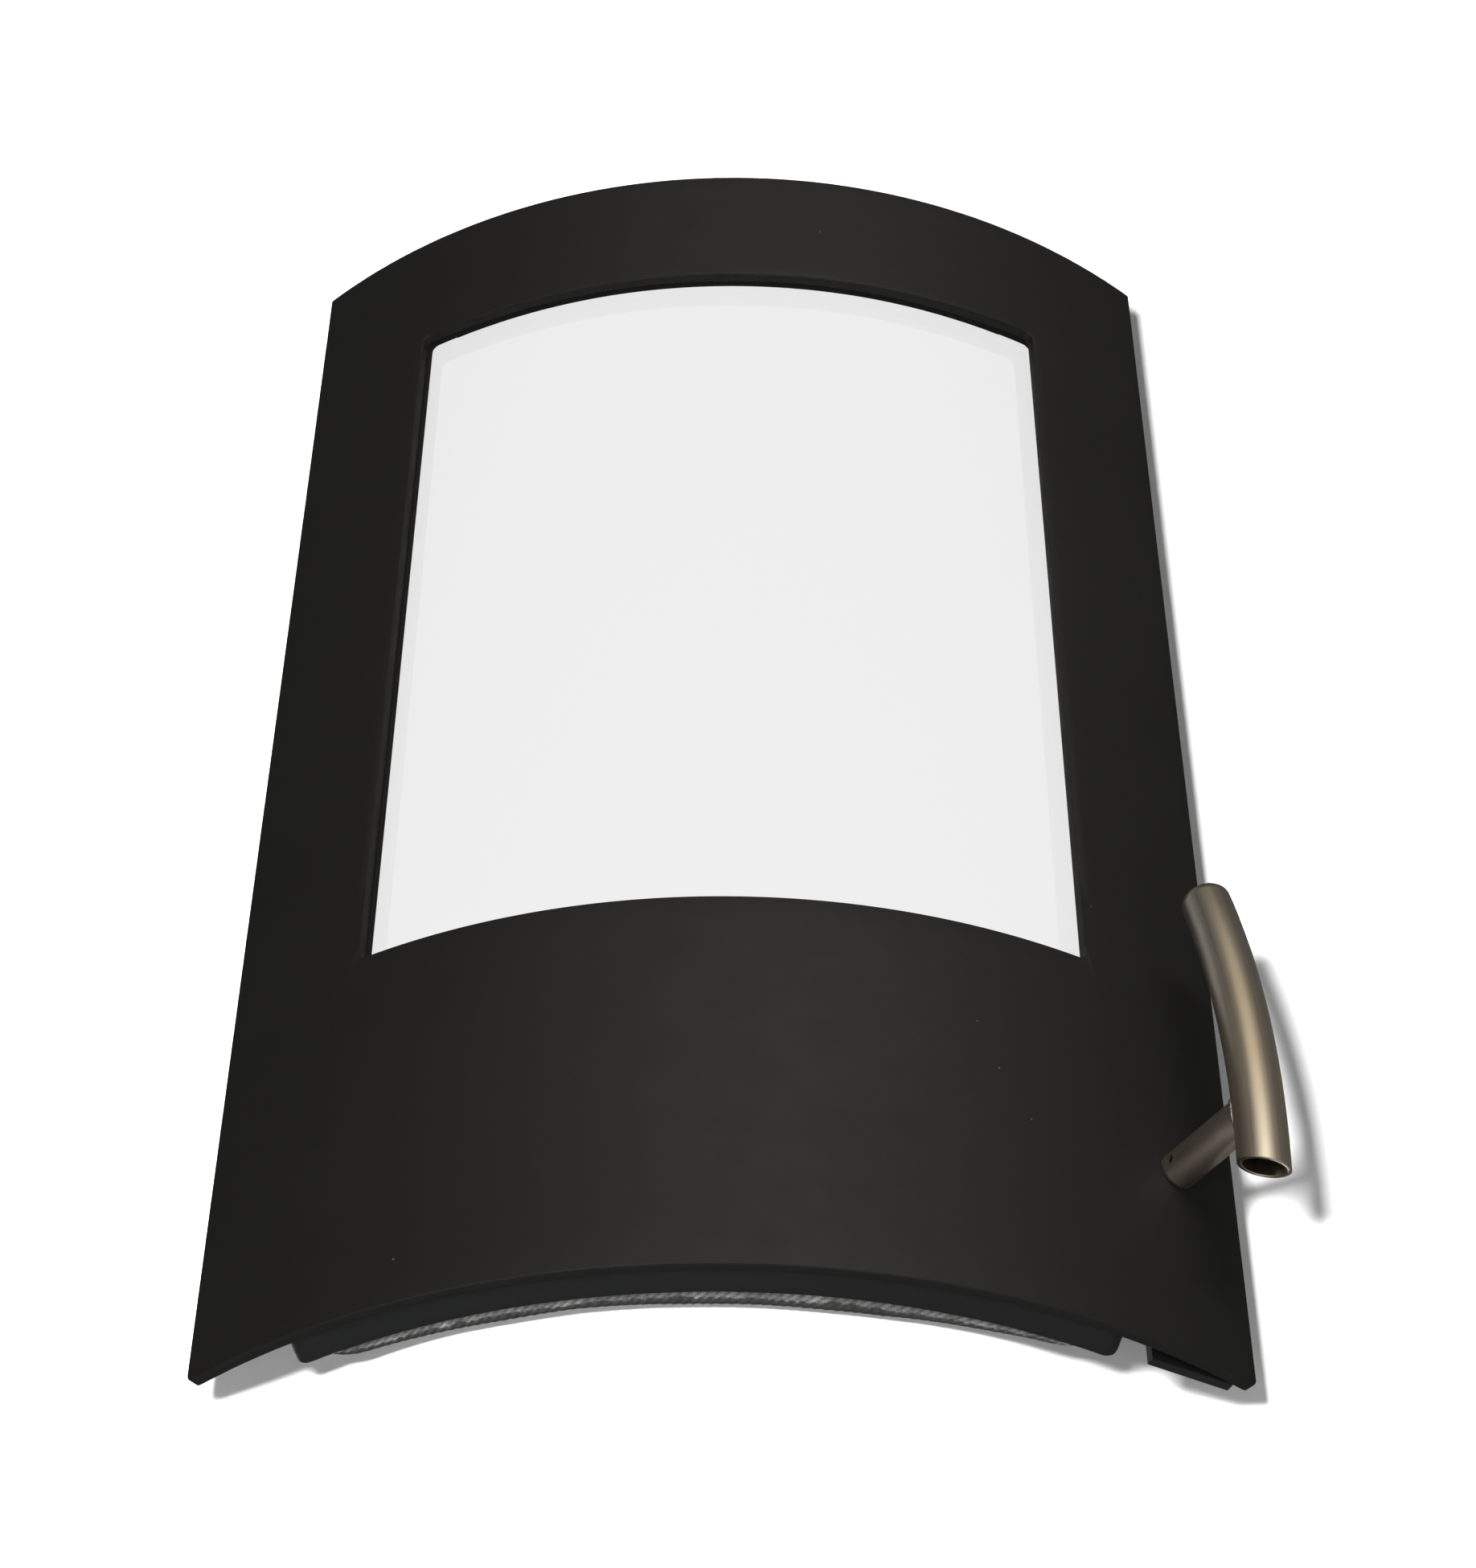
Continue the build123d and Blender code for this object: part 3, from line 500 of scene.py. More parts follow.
def brushed_steel(name, tones, rough, lines, grain, anisotropic, green_reflection_span=(1.0, 2.0)):
    """Brushed stainless steel, whose fine lines change its colour and gloss.

    The lines run along one direction of the piece's UV map. Between two distances along the map, in metres,
    the steel turns from its warm tone, which is partly a painted reflection of brown surroundings, to a
    greener one, a painted reflection of greenish surroundings. The distances that it takes where none
    are given lie past the end of every piece.
    """
    look = Graph(name, Metallic=1.0, Anisotropic=anisotropic)
    uv = look.add("ShaderNodeUVMap", uv_map="surface").outputs[0]
    scratch = look.noise(look.stretched(uv, lines), 1.0, 3.0, 0.6)
    wear_and_reflection = look.cloudy(look.noise(look.place(), grain, 3.0), tones[0], tones[1])
    # Painted reflection: towards the upper end the tone turns greener, for greenish surroundings mirrored in
    # the steel
    along = look.add("ShaderNodeSeparateXYZ", {0: uv}).outputs["Y"]
    values = {0: wear_and_reflection, 1: GREEN_REFLECTION_TINT}
    green_reflection = look.add("ShaderNodeVectorMath", values, operation="MULTIPLY").outputs["Vector"]
    wear_and_reflection = look.mix(look.span(along, *green_reflection_span, 0.0, 1.0), wear_and_reflection, green_reflection)
    tangent = look.add("ShaderNodeTangent", direction_type="UV_MAP", uv_map="surface").outputs[0]
    return look.feed(
        Base_Color=look.mix(look.span(scratch, 0.25, 0.75, 0.0, 0.35), wear_and_reflection, tones[2]),
        Roughness=look.span(scratch, 0.2, 0.8, rough[0], rough[1]),
        Normal=look.bump(scratch, 0.012 * MM, 0.5),
        Tangent=tangent,
    )


def plated_steel():
    """Zinc-plated hardware: a little dull, with a faint mottle."""
    look = Graph("plated_steel", Metallic=1.0)
    cloud = look.noise(look.place(), 160.0, 4.0, 0.6)
    return look.feed(
        Base_Color=look.cloudy(cloud, (0.42, 0.41, 0.38, 1.0), (0.58, 0.57, 0.53, 1.0)),
        Roughness=look.span(cloud, 0.3, 0.7, 0.3, 0.46),
        Normal=look.bump(look.noise(look.place(), 900.0), 0.02 * MM, 0.4),
    )


def pin_black_and_hole_shade():
    """Oil-black spring steel and painted shade: nearly black, for the shade in the pin's hollow."""
    look = Graph("pin_black_and_hole_shade", Roughness=0.8, Specular_IOR_Level=0.08)
    cloud = look.noise(look.place(), 300.0)
    return look.feed(Base_Color=look.mix(cloud, colour(0.002), colour(0.006)))


def clear_glass():
    """Clear heat-proof glass, faintly grey."""
    look = Graph("clear_glass", Transmission_Weight=1.0, IOR=1.47, Roughness=0.0, Specular_IOR_Level=0.05)
    tint = look.noise(look.place(), 4.0, 2.0)
    return look.feed(Base_Color=look.mix(tint, (0.899, 0.899, 0.901, 1.0), (0.901, 0.901, 0.903, 1.0)))


def woven_tape():
    """Matt black woven tape: a fine basket weave in its bump."""
    look = Graph("woven_tape", Roughness=0.95, Specular_IOR_Level=0.2)
    values = {"Vector": look.place(), "Scale": 260.0, "Distortion": 1.5}
    weave = look.add("ShaderNodeTexWave", values).outputs["Fac"]
    tone = look.mix(weave, colour(0.003), colour(0.009))
    return look.feed(Base_Color=tone, Normal=look.bump(weave, 0.15 * MM, 0.6))


def rope_yarn():
    """Glass-fibre yarn: light on the crowns of the stitches, with painted shade between them, and painted
    shade over its side towards the stove.

    That painted shade begins at a share of the way round the rope from its lip, a little sooner or later in
    patches.
    """
    look = Graph("rope_yarn", Roughness=0.85, Specular_IOR_Level=0.2)
    uv = look.add("ShaderNodeUVMap", uv_map="surface").outputs[0]
    crown = look.add("ShaderNodeAttribute", attribute_name="crown").outputs["Fac"]
    fibre = look.noise(look.stretched(uv, (34.0, 900.0, 1.0)), 1.0, 3.0, 0.6)
    patch = look.noise(look.place(), 130.0, 4.0, 0.6)
    light = look.mix(look.span(patch, 0.35, 0.65, 0.0, 1.0), colour(0.38), colour(0.93))
    # Painted shade: the grooves between the stitches' crowns take a dark colour
    shown = look.math("MULTIPLY", crown, look.span(fibre, 0.25, 0.75, 0.6, 1.0))
    crowns_and_groove_shade = look.mix(shown, colour(0.08), light)
    round_it = look.add("ShaderNodeSeparateXYZ", {0: uv}).outputs["X"]
    from_lip = look.math("ABSOLUTE", look.math("SUBTRACT", round_it, 0.5))
    # Painted shade: the rope's side towards the stove turns nearly black, patchy at its edge
    stove_side_shade = look.math("ADD", from_lip, look.span(patch, 0.3, 0.7, 0.035, -0.025))
    tone = look.mix(look.span(stove_side_shade, 0.175, 0.205, 0.0, 0.86), crowns_and_groove_shade, colour(0.025))
    return look.feed(Base_Color=tone, Normal=look.bump(fibre, 0.25 * MM, 0.7))


def weld_metal():
    """Painted-over weld: the paint's black on a rippled bead."""
    look = Graph("weld_metal", Roughness=0.5)
    ripple = look.noise(look.place(), 420.0, 3.0)
    tone = look.mix(ripple, colour(0.010, 0.03), colour(0.022, 0.03))
    return look.feed(Base_Color=tone, Normal=look.bump(ripple, 0.2 * MM, 0.6))


def weld_bright():
    """Bright weld on stainless steel, with no marks of the brush."""
    look = Graph("weld_bright", Metallic=1.0, Roughness=0.42)
    ripple = look.noise(look.place(), 600.0, 3.0)
    tone = look.mix(ripple, (0.22, 0.19, 0.16, 1.0), (0.52, 0.48, 0.42, 1.0))
    return look.feed(Base_Color=tone, Normal=look.bump(ripple, 0.15 * MM, 0.5))


# Specks of dust on the face: their places and sizes
DUST_COLOUR = colour(0.09)
DUST = (
    ((0.2389, -0.0814, 0.6029), 0.6 * MM),
    ((0.3496, -0.0441, 0.1659), 0.5 * MM),
    ((0.2966, -0.0676, 0.0786), 0.5 * MM),
    ((0.3045, -0.0648, 0.0558), 0.6 * MM),
    ((0.3164, -0.0601, 0.0326), 0.5 * MM),
    ((0.0661, -0.0595, -0.0387), 0.7 * MM),
)

# Tones of each finish, from dark to light, how the brushed lines are stretched, and the materials
FACE_TONES = ((0.0050, 0.0050, 0.0042, 1.0), (0.0068, 0.0068, 0.0057, 1.0))
FRAME_TONES = ((0.0086, 0.0091, 0.0095, 1.0), (0.0114, 0.0119, 0.0123, 1.0))
# The warm brown of the tube's and stem's tones is partly painted reflection of brown surroundings
TUBE_TONES = ((0.33, 0.285, 0.22, 1.0), (0.42, 0.365, 0.285, 1.0), (0.52, 0.46, 0.37, 1.0))
STEM_TONES = ((0.54, 0.45, 0.36, 1.0), (0.68, 0.59, 0.48, 1.0), (0.80, 0.72, 0.62, 1.0))
# Painted reflection: the tint the tube takes towards its upper end, for greenish surroundings mirrored in it
GREEN_REFLECTION_TINT = (0.84, 0.90, 0.98)
TUBE_BRUSH = (900.0, 9.0, 1.0)
STEM_BRUSH = (12.0, 1400.0, 1.0)
FACE_PAINT = heat_paint("face_paint", *FACE_TONES, rough=(0.6, 0.66), specks=DUST)
FRAME_PAINT = heat_paint("frame_paint", *FRAME_TONES, rough=(0.56, 0.64))
TUBE_STEEL = brushed_steel(
    "tube_steel", TUBE_TONES, (0.34, 0.46), TUBE_BRUSH, grain=12.0, anisotropic=0.5, green_reflection_span=(0.05, 0.13)
)
STEM_STEEL = brushed_steel("stem_steel", STEM_TONES, (0.27, 0.38), STEM_BRUSH, grain=30.0, anisotropic=0.3)
PLATED = plated_steel()
PIN_BLACK_AND_SHADE = pin_black_and_hole_shade()
CLEAR_GLASS = clear_glass()
TAPE_CLOTH = woven_tape()
YARN = rope_yarn()
PAINTED_WELD = weld_metal()
BRIGHT_WELD = weld_bright()


def make_face_plate():
    """The rolled face: the window's outline stands inside the sheet's own outline, on the same curve."""
    half = across_at(face_high.x - MIDDLE, FACE_RADIUS)
    outer = box_outline(-half, half, FOOT, HEAD, FOOT_CORNER, HEAD_CORNER)
    window = across_at(HALF_WINDOW, FACE_RADIUS)
    inner = box_outline(-window, window, SILL, LINTEL, WINDOW_CORNER, WINDOW_CORNER)
    mesh = window_sheet("rolled_face", outer, inner, FACE_RADIUS, BACK_RADIUS, FACE_EDGE)
    piece("rolled_face", mesh, FACE_PAINT, stands_for=("face_plate",))


def make_window():
    """The glass and the tape round its front, one behind the other."""
    glass_low, glass_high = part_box("window_glass")
    front = BACK_RADIUS - TAPE_THICKNESS
    half = across_at((glass_high.x - glass_low.x) / 2, front)
    outer = box_outline(-half, half, glass_low.z, glass_high.z, GLASS_CORNER, GLASS_CORNER)
    mesh = plain_sheet("curved_glass", outer, front, front - GLASS_THICKNESS, GLASS_EDGE)
    piece("curved_glass", mesh, CLEAR_GLASS, stands_for=("window_glass",))
    left = across_at(-HALF_WINDOW + TAPE_LEFT, FACE_RADIUS)
    right = across_at(HALF_WINDOW + TAPE_RIGHT, FACE_RADIUS)
    inner = box_outline(left, right, SILL, LINTEL, WINDOW_CORNER, WINDOW_CORNER)
    wide = TAPE_WIDTH * FACE_RADIUS / BACK_RADIUS
    low, high = SILL - TAPE_WIDTH, LINTEL + TAPE_WIDTH
    outer = box_outline(left - wide, right + wide, low, high, WINDOW_CORNER, WINDOW_CORNER)
    mesh = window_sheet("window_tape", outer, inner, BACK_RADIUS, front, GLASS_EDGE)
    piece("window_tape", mesh, TAPE_CLOTH, stands_for=("glass_tape",))


def stepped(left, right_low, right, low, high, shift):
    """Corners of an outline that steps in beside the latch, with the step moved up by a shift."""
    return [
        (left, low),
        (right_low, low),
        (right_low, STEP_FROM + shift),
        (right, STEP_TO + shift),
        (right, high),
        (left, high),
    ]


def frame_outline(inset):
    """Outline of the frame's outer wall where it meets the plate, from the front, moved in by an inset."""
    corners = stepped(
        -FRAME_LEFT + inset,
        FRAME_RIGHT_LOW - inset,
        FRAME_RIGHT - inset,
        FRAME_FOOT + inset,
        FRAME_HEAD - inset,
        STEP_SHIFT * inset,
    )
    return outline(corners, [FRAME_CORNER - inset] * 6, FRAME_RUN, FRAME_ARC)


def opening_outline(grow):
    """Outline of the frame's opening, seen from the front, moved outwards by a growth."""
    corners = stepped(
        -OPENING_LEFT - grow,
        OPENING_RIGHT_LOW + grow,
        OPENING_RIGHT + grow,
        FOOT + OPENING_INSET - grow,
        HEAD - OPENING_INSET + grow,
        -STEP_SHIFT * grow,
    )
    # The step's lower corner is hollow, so its round shrinks as the others grow
    radii = [OPENING_CORNER + grow] * 6
    radii[2] = OPENING_CORNER - grow
    return outline(corners, radii, FRAME_RUN, FRAME_ARC)


def at_radius(flat, radius, lean=0.0):
    """Points of a front-view outline laid on the curve at a radius.

    With a lean the sides move towards the middle as they go into the stove: x shrinks by lean times the
    distance behind the line where the wall meets the plate, and three rounds settle x and y together.
    """
    x = flat[:, 0].copy()
    for _ in range(3):
        y = CURVE_AXIS - np.sqrt(radius**2 - x**2)
        x = flat[:, 0] * (1 - lean * (y - WALL_MEETS) / np.abs(flat[:, 0]).max())
    return np.stack([MIDDLE + x, CURVE_AXIS - np.sqrt(radius**2 - x**2), flat[:, 1]], 1)


def make_inner_frame():
    """Folded channel: outer wall, round bend, lip, inner wall, and back along the inside of the sheet."""
    wall, wall_inside = frame_outline(0.0), frame_outline(FRAME_SHEET)
    hole, hole_inside = opening_outline(0.0), opening_outline(FRAME_SHEET)
    wall_radii = np.linspace(BACK_RADIUS - WALL_GAP, LIP_RADIUS + FRAME_BEND, 6)
    rows = [at_radius(wall, radius, WALL_LEAN) for radius in wall_radii]
    for inset, drop in quarter(5)[1:]:
        bend = frame_outline(FRAME_BEND * inset)
        rows.append(at_radius(bend, LIP_RADIUS + FRAME_BEND * drop, WALL_LEAN))
    edge = front_view(rows[-1])
    for share in (0.25, 0.5, 0.75):
        rows.append(at_radius(edge * (1 - share) + hole * share, LIP_RADIUS))
    small_bend = FRAME_BEND * 0.5
    for inset, drop in reversed(quarter()):
        rows.append(at_radius(opening_outline(small_bend * inset), LIP_RADIUS + small_bend * drop))
    rows.append(at_radius(hole, LIP_RADIUS + INNER_WALL_DEPTH))
    rows.append(at_radius(hole_inside, LIP_RADIUS + INNER_WALL_DEPTH))
    inside_radius = LIP_RADIUS + FRAME_SHEET
    rows.append(at_radius(hole_inside, inside_radius))
    inner_edge = at_radius(wall_inside, inside_radius, WALL_LEAN)
    rows.append(at_radius((front_view(inner_edge) + hole_inside) / 2, inside_radius))
    rows.append(inner_edge)
    rows.append(at_radius(wall_inside, BACK_RADIUS - WALL_GAP, WALL_LEAN))
    mesh = surface("folded_frame", np.array(rows), close_rows=True)
    piece("folded_frame", mesh, FRAME_PAINT, stands_for=("inner_frame",))


def evenly(path, count):
    """The same closed path with evenly spaced points, and its length."""
    ring = np.vstack([path, path[:1]])
    gone = np.concatenate([[0], np.cumsum(np.linalg.norm(np.diff(ring, axis=0), axis=1))])
    at = np.linspace(0, gone[-1], count, endpoint=False)
    return np.stack([np.interp(at, gone, values) for values in ring.T], 1), gone[-1]


def eased(share):
    """Smooth step from 0 to 1: 3 t^2 - 2 t^3."""
    share = np.clip(share, 0, 1)
    return share * share * (3 - 2 * share)


def waves(way, terms):
    """Sum of sine waves along a way: height * sin(way / length + phase) for each."""
    return sum(height * np.sin(way / length + phase) for height, length, phase in terms)


def raised(turn):
    """Cosine raised to run from 0 to 1."""
    return 0.5 + 0.5 * np.cos(turn)


def make_rope():
    """Knitted rope seal on the frame's lip.

    Its section is a slightly flattened round. Rows of plump stitches slant round it: a stitch's crown is the
    product of two raised cosines, one across the rows and one along them, each swaying the other's phase.
    The one along them is broadened by a power, and crowns fade a little in places. Along the foot the rope
    is fuller in the middle and thinner towards both ends, most of all on the right.
    """
    centre_line = at_radius(opening_outline(ROPE_GAP + ROPE_HALF_WIDTH), LIP_RADIUS - ROPE_HALF_DEPTH)
    path, length = evenly(centre_line, ROPE_ALONG)
    tangent = np.roll(path, -1, 0) - np.roll(path, 1, 0)
    tangent /= np.linalg.norm(tangent, axis=1)[:, None]
    inward = np.stack([MIDDLE - path[:, 0], CURVE_AXIS - path[:, 1], np.zeros(ROPE_ALONG)], 1)
    inward -= (inward * tangent).sum(1)[:, None] * tangent
    inward /= np.linalg.norm(inward, axis=1)[:, None]
    sideways = np.cross(tangent, inward)
    way = np.arange(ROPE_ALONG) / ROPE_ALONG * length
    turn = np.arange(ROPE_AROUND) / ROPE_AROUND * 2 * np.pi
    stitches = round(length / STITCH)
    slant = 2 * np.pi * stitches * way[:, None] / length + waves(way, ROPE_DRIFT)[:, None]
    across_rows = STITCH_ROWS * turn[None, :] + ROW_SWAY * np.sin(slant)
    along_row = slant + STITCH_TURNS * turn[None, :] + STITCH_SWAY * np.cos(across_rows)
    crown = raised(along_row) ** CROWN_POWER * (CROWN_LEAST + (1 - CROWN_LEAST) * raised(across_rows))
    fade = np.sin(way / FADE_WAVE + waves(way, FADE_DRIFT))
    crown *= 1 - CROWN_FADE + CROWN_FADE * fade[:, None]
    foot = eased((ROPE_FOOT_TOP - path[:, 2]) / ROPE_FOOT_BLEND)
    fuller = foot * np.interp(path[:, 0] - MIDDLE, ROPE_PLACES, ROPE_FULLER)
    swell = waves(way, ROPE_SWELL)
    sunk = STITCH_DEPTH * (1 - crown)
    deep = (ROPE_HALF_DEPTH + fuller + SWELL_IN_DEPTH * swell)[:, None] - sunk
    wide = (ROPE_HALF_WIDTH + swell)[:, None] - sunk
    middle = path + waves(way, ROPE_WANDER)[:, None] * sideways + fuller[:, None] * inward
    points = (
        middle[:, None, :]
        + (deep * np.cos(turn))[:, :, None] * inward[:, None, :]
        + (wide * np.sin(turn))[:, :, None] * sideways[:, None, :]
    )
    uv = (np.linspace(0, 1, ROPE_AROUND + 1), np.linspace(0, length, ROPE_ALONG + 1))
    mesh = surface("knitted_rope", points, close_rows=True, uv=uv)
    # The crowns also set the painted shade between the stitches, in the rope's material
    layer = mesh.attributes.new("crown", "FLOAT", "POINT")
    layer.data.foreach_set("value", crown.astype(np.float32).ravel())
    piece("knitted_rope", mesh, YARN, stands_for=("door_rope",), sharp=ROUND_SHARP)


def bow(turn, radius, side):
    """Points at a turn about the bow's centre, at a radius from it and to one side of the bow's plane."""
    height = BOW_APEX + radius * np.sin(turn)
    off = STAND_OFF - BOW_RADIUS + radius * np.cos(turn)
    return SPINDLE + height[:, None] * UP + off[:, None] * OUT + side[:, None] * ALONG_FACE


def make_tube():
    """Bowed tube, open at both ends: up its outside, over the upper end, down its bore, over the lower end.

    A line along the tube at an angle round it lies on a circle about the bow's centre. It starts where that
    circle meets the slanted cut: the radius times the sine of its turn plus the slant is the same for all.
    """
    angle = np.arange(TUBE_AROUND) / TUBE_AROUND * 2 * np.pi
    first_turn = np.arcsin((TUBE_LOW - BOW_APEX) / BOW_RADIUS)
    last_turn = np.arcsin((TUBE_HIGH - BOW_APEX) / BOW_RADIUS)
    rows, ways = [], []

    def ring(radius, share, from_low=TUBE_EDGE, from_high=TUBE_EDGE):
        """Adds a ring of points at a share of the way between two distances from the tube's ends."""
        circle = BOW_RADIUS + radius * np.cos(angle)
        cut = np.arcsin(BOW_RADIUS * np.sin(first_turn + TUBE_SLANT) / circle) - TUBE_SLANT
        low = cut + from_low / BOW_RADIUS
        high = last_turn - from_high / BOW_RADIUS
        rows.append(bow(low + (high - low) * share, circle, radius * np.sin(angle)))
        ways.append(share * (TUBE_HIGH - TUBE_LOW))

    bore = TUBE_RADIUS - TUBE_WALL
    insets = [inset for inset, _ in quarter()[:-1]]
    for share in np.linspace(0, 1, TUBE_RINGS):
        ring(TUBE_RADIUS, share)
    for inset in reversed(insets):
        ring(TUBE_RADIUS - TUBE_EDGE * (1 - inset), 1.0, from_high=TUBE_EDGE * inset)
    for inset in insets:
        ring(bore + TUBE_EDGE * (1 - inset), 1.0, from_high=TUBE_EDGE * inset)
    for share in np.linspace(1, 0, BORE_RINGS):
        ring(bore, share)
    for inset in reversed(insets):
        ring(bore + TUBE_EDGE * (1 - inset), 0.0, from_low=TUBE_EDGE * inset)
    for inset in insets:
        ring(TUBE_RADIUS - TUBE_EDGE * (1 - inset), 0.0, from_low=TUBE_EDGE * inset)
    uv = (np.linspace(0, 2 * np.pi * TUBE_RADIUS, TUBE_AROUND + 1), np.array(ways + [0.0]))
    mesh = surface("bowed_tube", np.array(rows), close_rows=True, uv=uv)
    piece("bowed_tube", mesh, TUBE_STEEL, "handle", ("handle_tube",), TUBE_SHARP)


def wrapped_uv(mesh, centre, axis):
    """UV map round an axis: u is the angle, and v is the distance along the axis, in metres."""
    places = np.zeros(len(mesh.vertices) * 3, np.float32)
    mesh.vertices.foreach_get("co", places)
    away = places.reshape(-1, 3) - centre
    along = away @ axis
    side = np.cross(axis, UP)
    angle = np.arctan2(away @ UP, away @ side) / (2 * np.pi)
    index = np.zeros(len(mesh.loops), np.int32)
    mesh.loops.foreach_get("vertex_index", index)
    layer = mesh.uv_layers.new(name="surface")
    layer.data.foreach_set("uv", np.stack([angle, along], 1)[index].astype(np.float32).ravel())


def make_small_parts():
    """Every other node keeps its CAD shape, with round edges and its finish."""
    for node in ("handle_stem", "spindle"):
        made = dress(node, STEM_STEEL, "handle", STEM_EDGE)
        wrapped_uv(made.data, SPINDLE, OUT)
    # The pin's near-black is partly painted shade of its hollow
    dress("stem_pin", PIN_BLACK_AND_SHADE, "handle", PIN_EDGE)
    for node in ("latch_washer", "latch_hook", "spring_washer", "latch_nut"):
        dress(node, PLATED, "handle", LATCH_EDGE)
    plated = ("clamp_studs", "clamp_nuts", "shield_spacers", "shield_studs", "shield_nuts", "spindle_bush")
    for node in plated + ("hinge_bush_bottom", "hinge_bush_top"):
        dress(node, PLATED)
    painted = ("glass_clamp_bottom", "glass_clamp_top", "heat_shield", "hinge_lug_bottom", "hinge_lug_top")
    for node in painted + ("latch_plate",):
        dress(node, FRAME_PAINT)
    dress("glass_rear_tapes", TAPE_CLOTH)


def bead(name, path, size, finish, body="door", close=False):
    """Weld bead: a low round ridge along a path, whose radius swells with each ripple of the weld.

    An open bead narrows to a point over twice its radius at both ends. Where its path runs nearly upright,
    its side is taken from the handle's axis.
    """
    step = np.gradient(path, axis=0)
    step /= np.linalg.norm(step, axis=1)[:, None]
    side = np.cross(step, UP)
    upright = np.linalg.norm(side, axis=1)[:, None] < NEARLY_UPRIGHT
    side = np.where(upright, np.cross(step, OUT), side)
    side /= np.linalg.norm(side, axis=1)[:, None]
    over = np.cross(side, step)
    gone = np.concatenate([[0], np.cumsum(np.linalg.norm(np.diff(path, axis=0), axis=1))])
    swell = size * (1 + RIPPLE_SHARE * np.abs(np.sin(np.pi * gone / WELD_RIPPLE)))
    if not close:
        ends = np.minimum(gone, gone[-1] - gone) / (2 * size)
        swell = swell * np.sqrt(np.clip(ends, 0.0, 1.0))
    turn = np.linspace(0, 2 * np.pi, BEAD_AROUND, endpoint=False)
    points = (
        path[:, None, :]
        + swell[:, None, None] * np.cos(turn)[None, :, None] * side[:, None, :]
        + swell[:, None, None] * np.sin(turn)[None, :, None] * over[:, None, :]
    )
    mesh = surface(name, points, close_rows=close)
    piece(name, mesh, finish, body, sharp=ROUND_SHARP)


def make_welds():
    """Beads where the stem meets the tube and where the hinge lugs meet the plate.

    The stem's bead follows the line in which the stem's cylinder meets the bowed tube's.
    """
    turn = np.linspace(0, 2 * np.pi, STEM_BEAD_RINGS, endpoint=False)
    up, side = STEM_RADIUS * np.cos(turn), STEM_RADIUS * np.sin(turn)
    bow_turn = np.arcsin((up - BOW_APEX) / BOW_RADIUS)
    off = STAND_OFF - BOW_RADIUS * (1 - np.cos(bow_turn)) - np.sqrt(TUBE_RADIUS**2 - side**2)
    path = SPINDLE + up[:, None] * UP + side[:, None] * ALONG_FACE + off[:, None] * OUT
    bead("stem_weld", path, STEM_BEAD, BRIGHT_WELD, "handle", close=True)
    start, end = across_at(LUG_FROM, BACK_RADIUS), across_at(LUG_TO, BACK_RADIUS)
    across = np.linspace(start, end, LUG_BEAD_RINGS)
    for place in ("bottom", "top"):
        low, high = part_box(f"hinge_lug_{place}")
        for side_name, height in (("lower", low.z), ("upper", high.z)):
            path = on_curve(across, BACK_RADIUS - LUG_BEAD_SUNK, height)
            bead(f"lug_weld_{place}_{side_name}", path, LUG_BEAD, PAINTED_WELD)


# The stage: its glow to the eye, its reach, and where the screen behind the door turns flat
SCREEN_GLOW = 0.06
FLOOR_GLOW = 0.9
STAGE_WHITE = (0.8, 0.8, 0.8, 1.0)
FLOOR_REACH = 6.0
FLOOR_DROP = 1.0
SCREEN_REACH = 1.2
SCREEN_TOP = 1.6
SCREEN_BEHIND = 4.0 * MM
SCREEN_COLUMNS = 241
BLEND_FROM = 0.1
BLEND_OVER = 0.16


def stage_paint(name, glow, front_only=False):
    """White stage paint: to the eye it glows a little over the lamps' shade, and glass shows an even white.

    With front_only it lets every ray through but those of the eye and of glass that come from the front.
    """
    material = bpy.data.materials.new(name)
    material.use_nodes = True
    tree = material.node_tree
    tree.nodes.clear()
    ray = add_node(tree, "ShaderNodeLightPath").outputs
    eye, glass = ray["Is Camera Ray"], ray["Is Transmission Ray"]
    paint = add_node(tree, "ShaderNodeBsdfDiffuse", {0: STAGE_WHITE})
    level = add_node(tree, "ShaderNodeMath", {0: eye, 1: glow}, operation="MULTIPLY")
    seen = add_node(tree, "ShaderNodeEmission", {1: level.outputs[0]})
    shaded = add_node(tree, "ShaderNodeAddShader", {0: paint.outputs[0], 1: seen.outputs[0]})
    even = add_node(tree, "ShaderNodeEmission", {1: 1.0})
    look = add_node(tree, "ShaderNodeMixShader", {0: glass, 1: shaded.outputs[0], 2: even.outputs[0]})
    if front_only:
        looks = add_node(tree, "ShaderNodeMath", {0: eye, 1: glass}, operation="MAXIMUM").outputs[0]
        behind = add_node(tree, "ShaderNodeNewGeometry").outputs["Backfacing"]
        values = {0: looks, 1: behind}
        shown = add_node(tree, "ShaderNodeMath", values, operation="SUBTRACT", use_clamp=True)
        clear = add_node(tree, "ShaderNodeBsdfTransparent")
        values = {0: shown.outputs[0], 1: clear.outputs[0], 2: look.outputs[0]}
        look = add_node(tree, "ShaderNodeMixShader", values)
    add_node(tree, "ShaderNodeOutputMaterial", {0: look.outputs[0]})
    return material


def stage_sheet(name, points, material):
    """Stage surface over a grid of points."""
    rows, columns = points.shape[:2]
    index = np.arange(rows * columns).reshape(rows, columns)
    faces = np.stack([index[:-1, :-1], index[:-1, 1:], index[1:, 1:], index[1:, :-1]], -1).reshape(-1, 4)
    mesh = bpy.data.meshes.new(name)
    mesh.from_pydata(points.reshape(-1, 3).tolist(), [], faces.tolist())
    mesh.shade_smooth()
    mesh.materials.append(material)
    made = bpy.data.objects.new(name, mesh)
    bpy.context.scene.collection.objects.link(made)
    return made


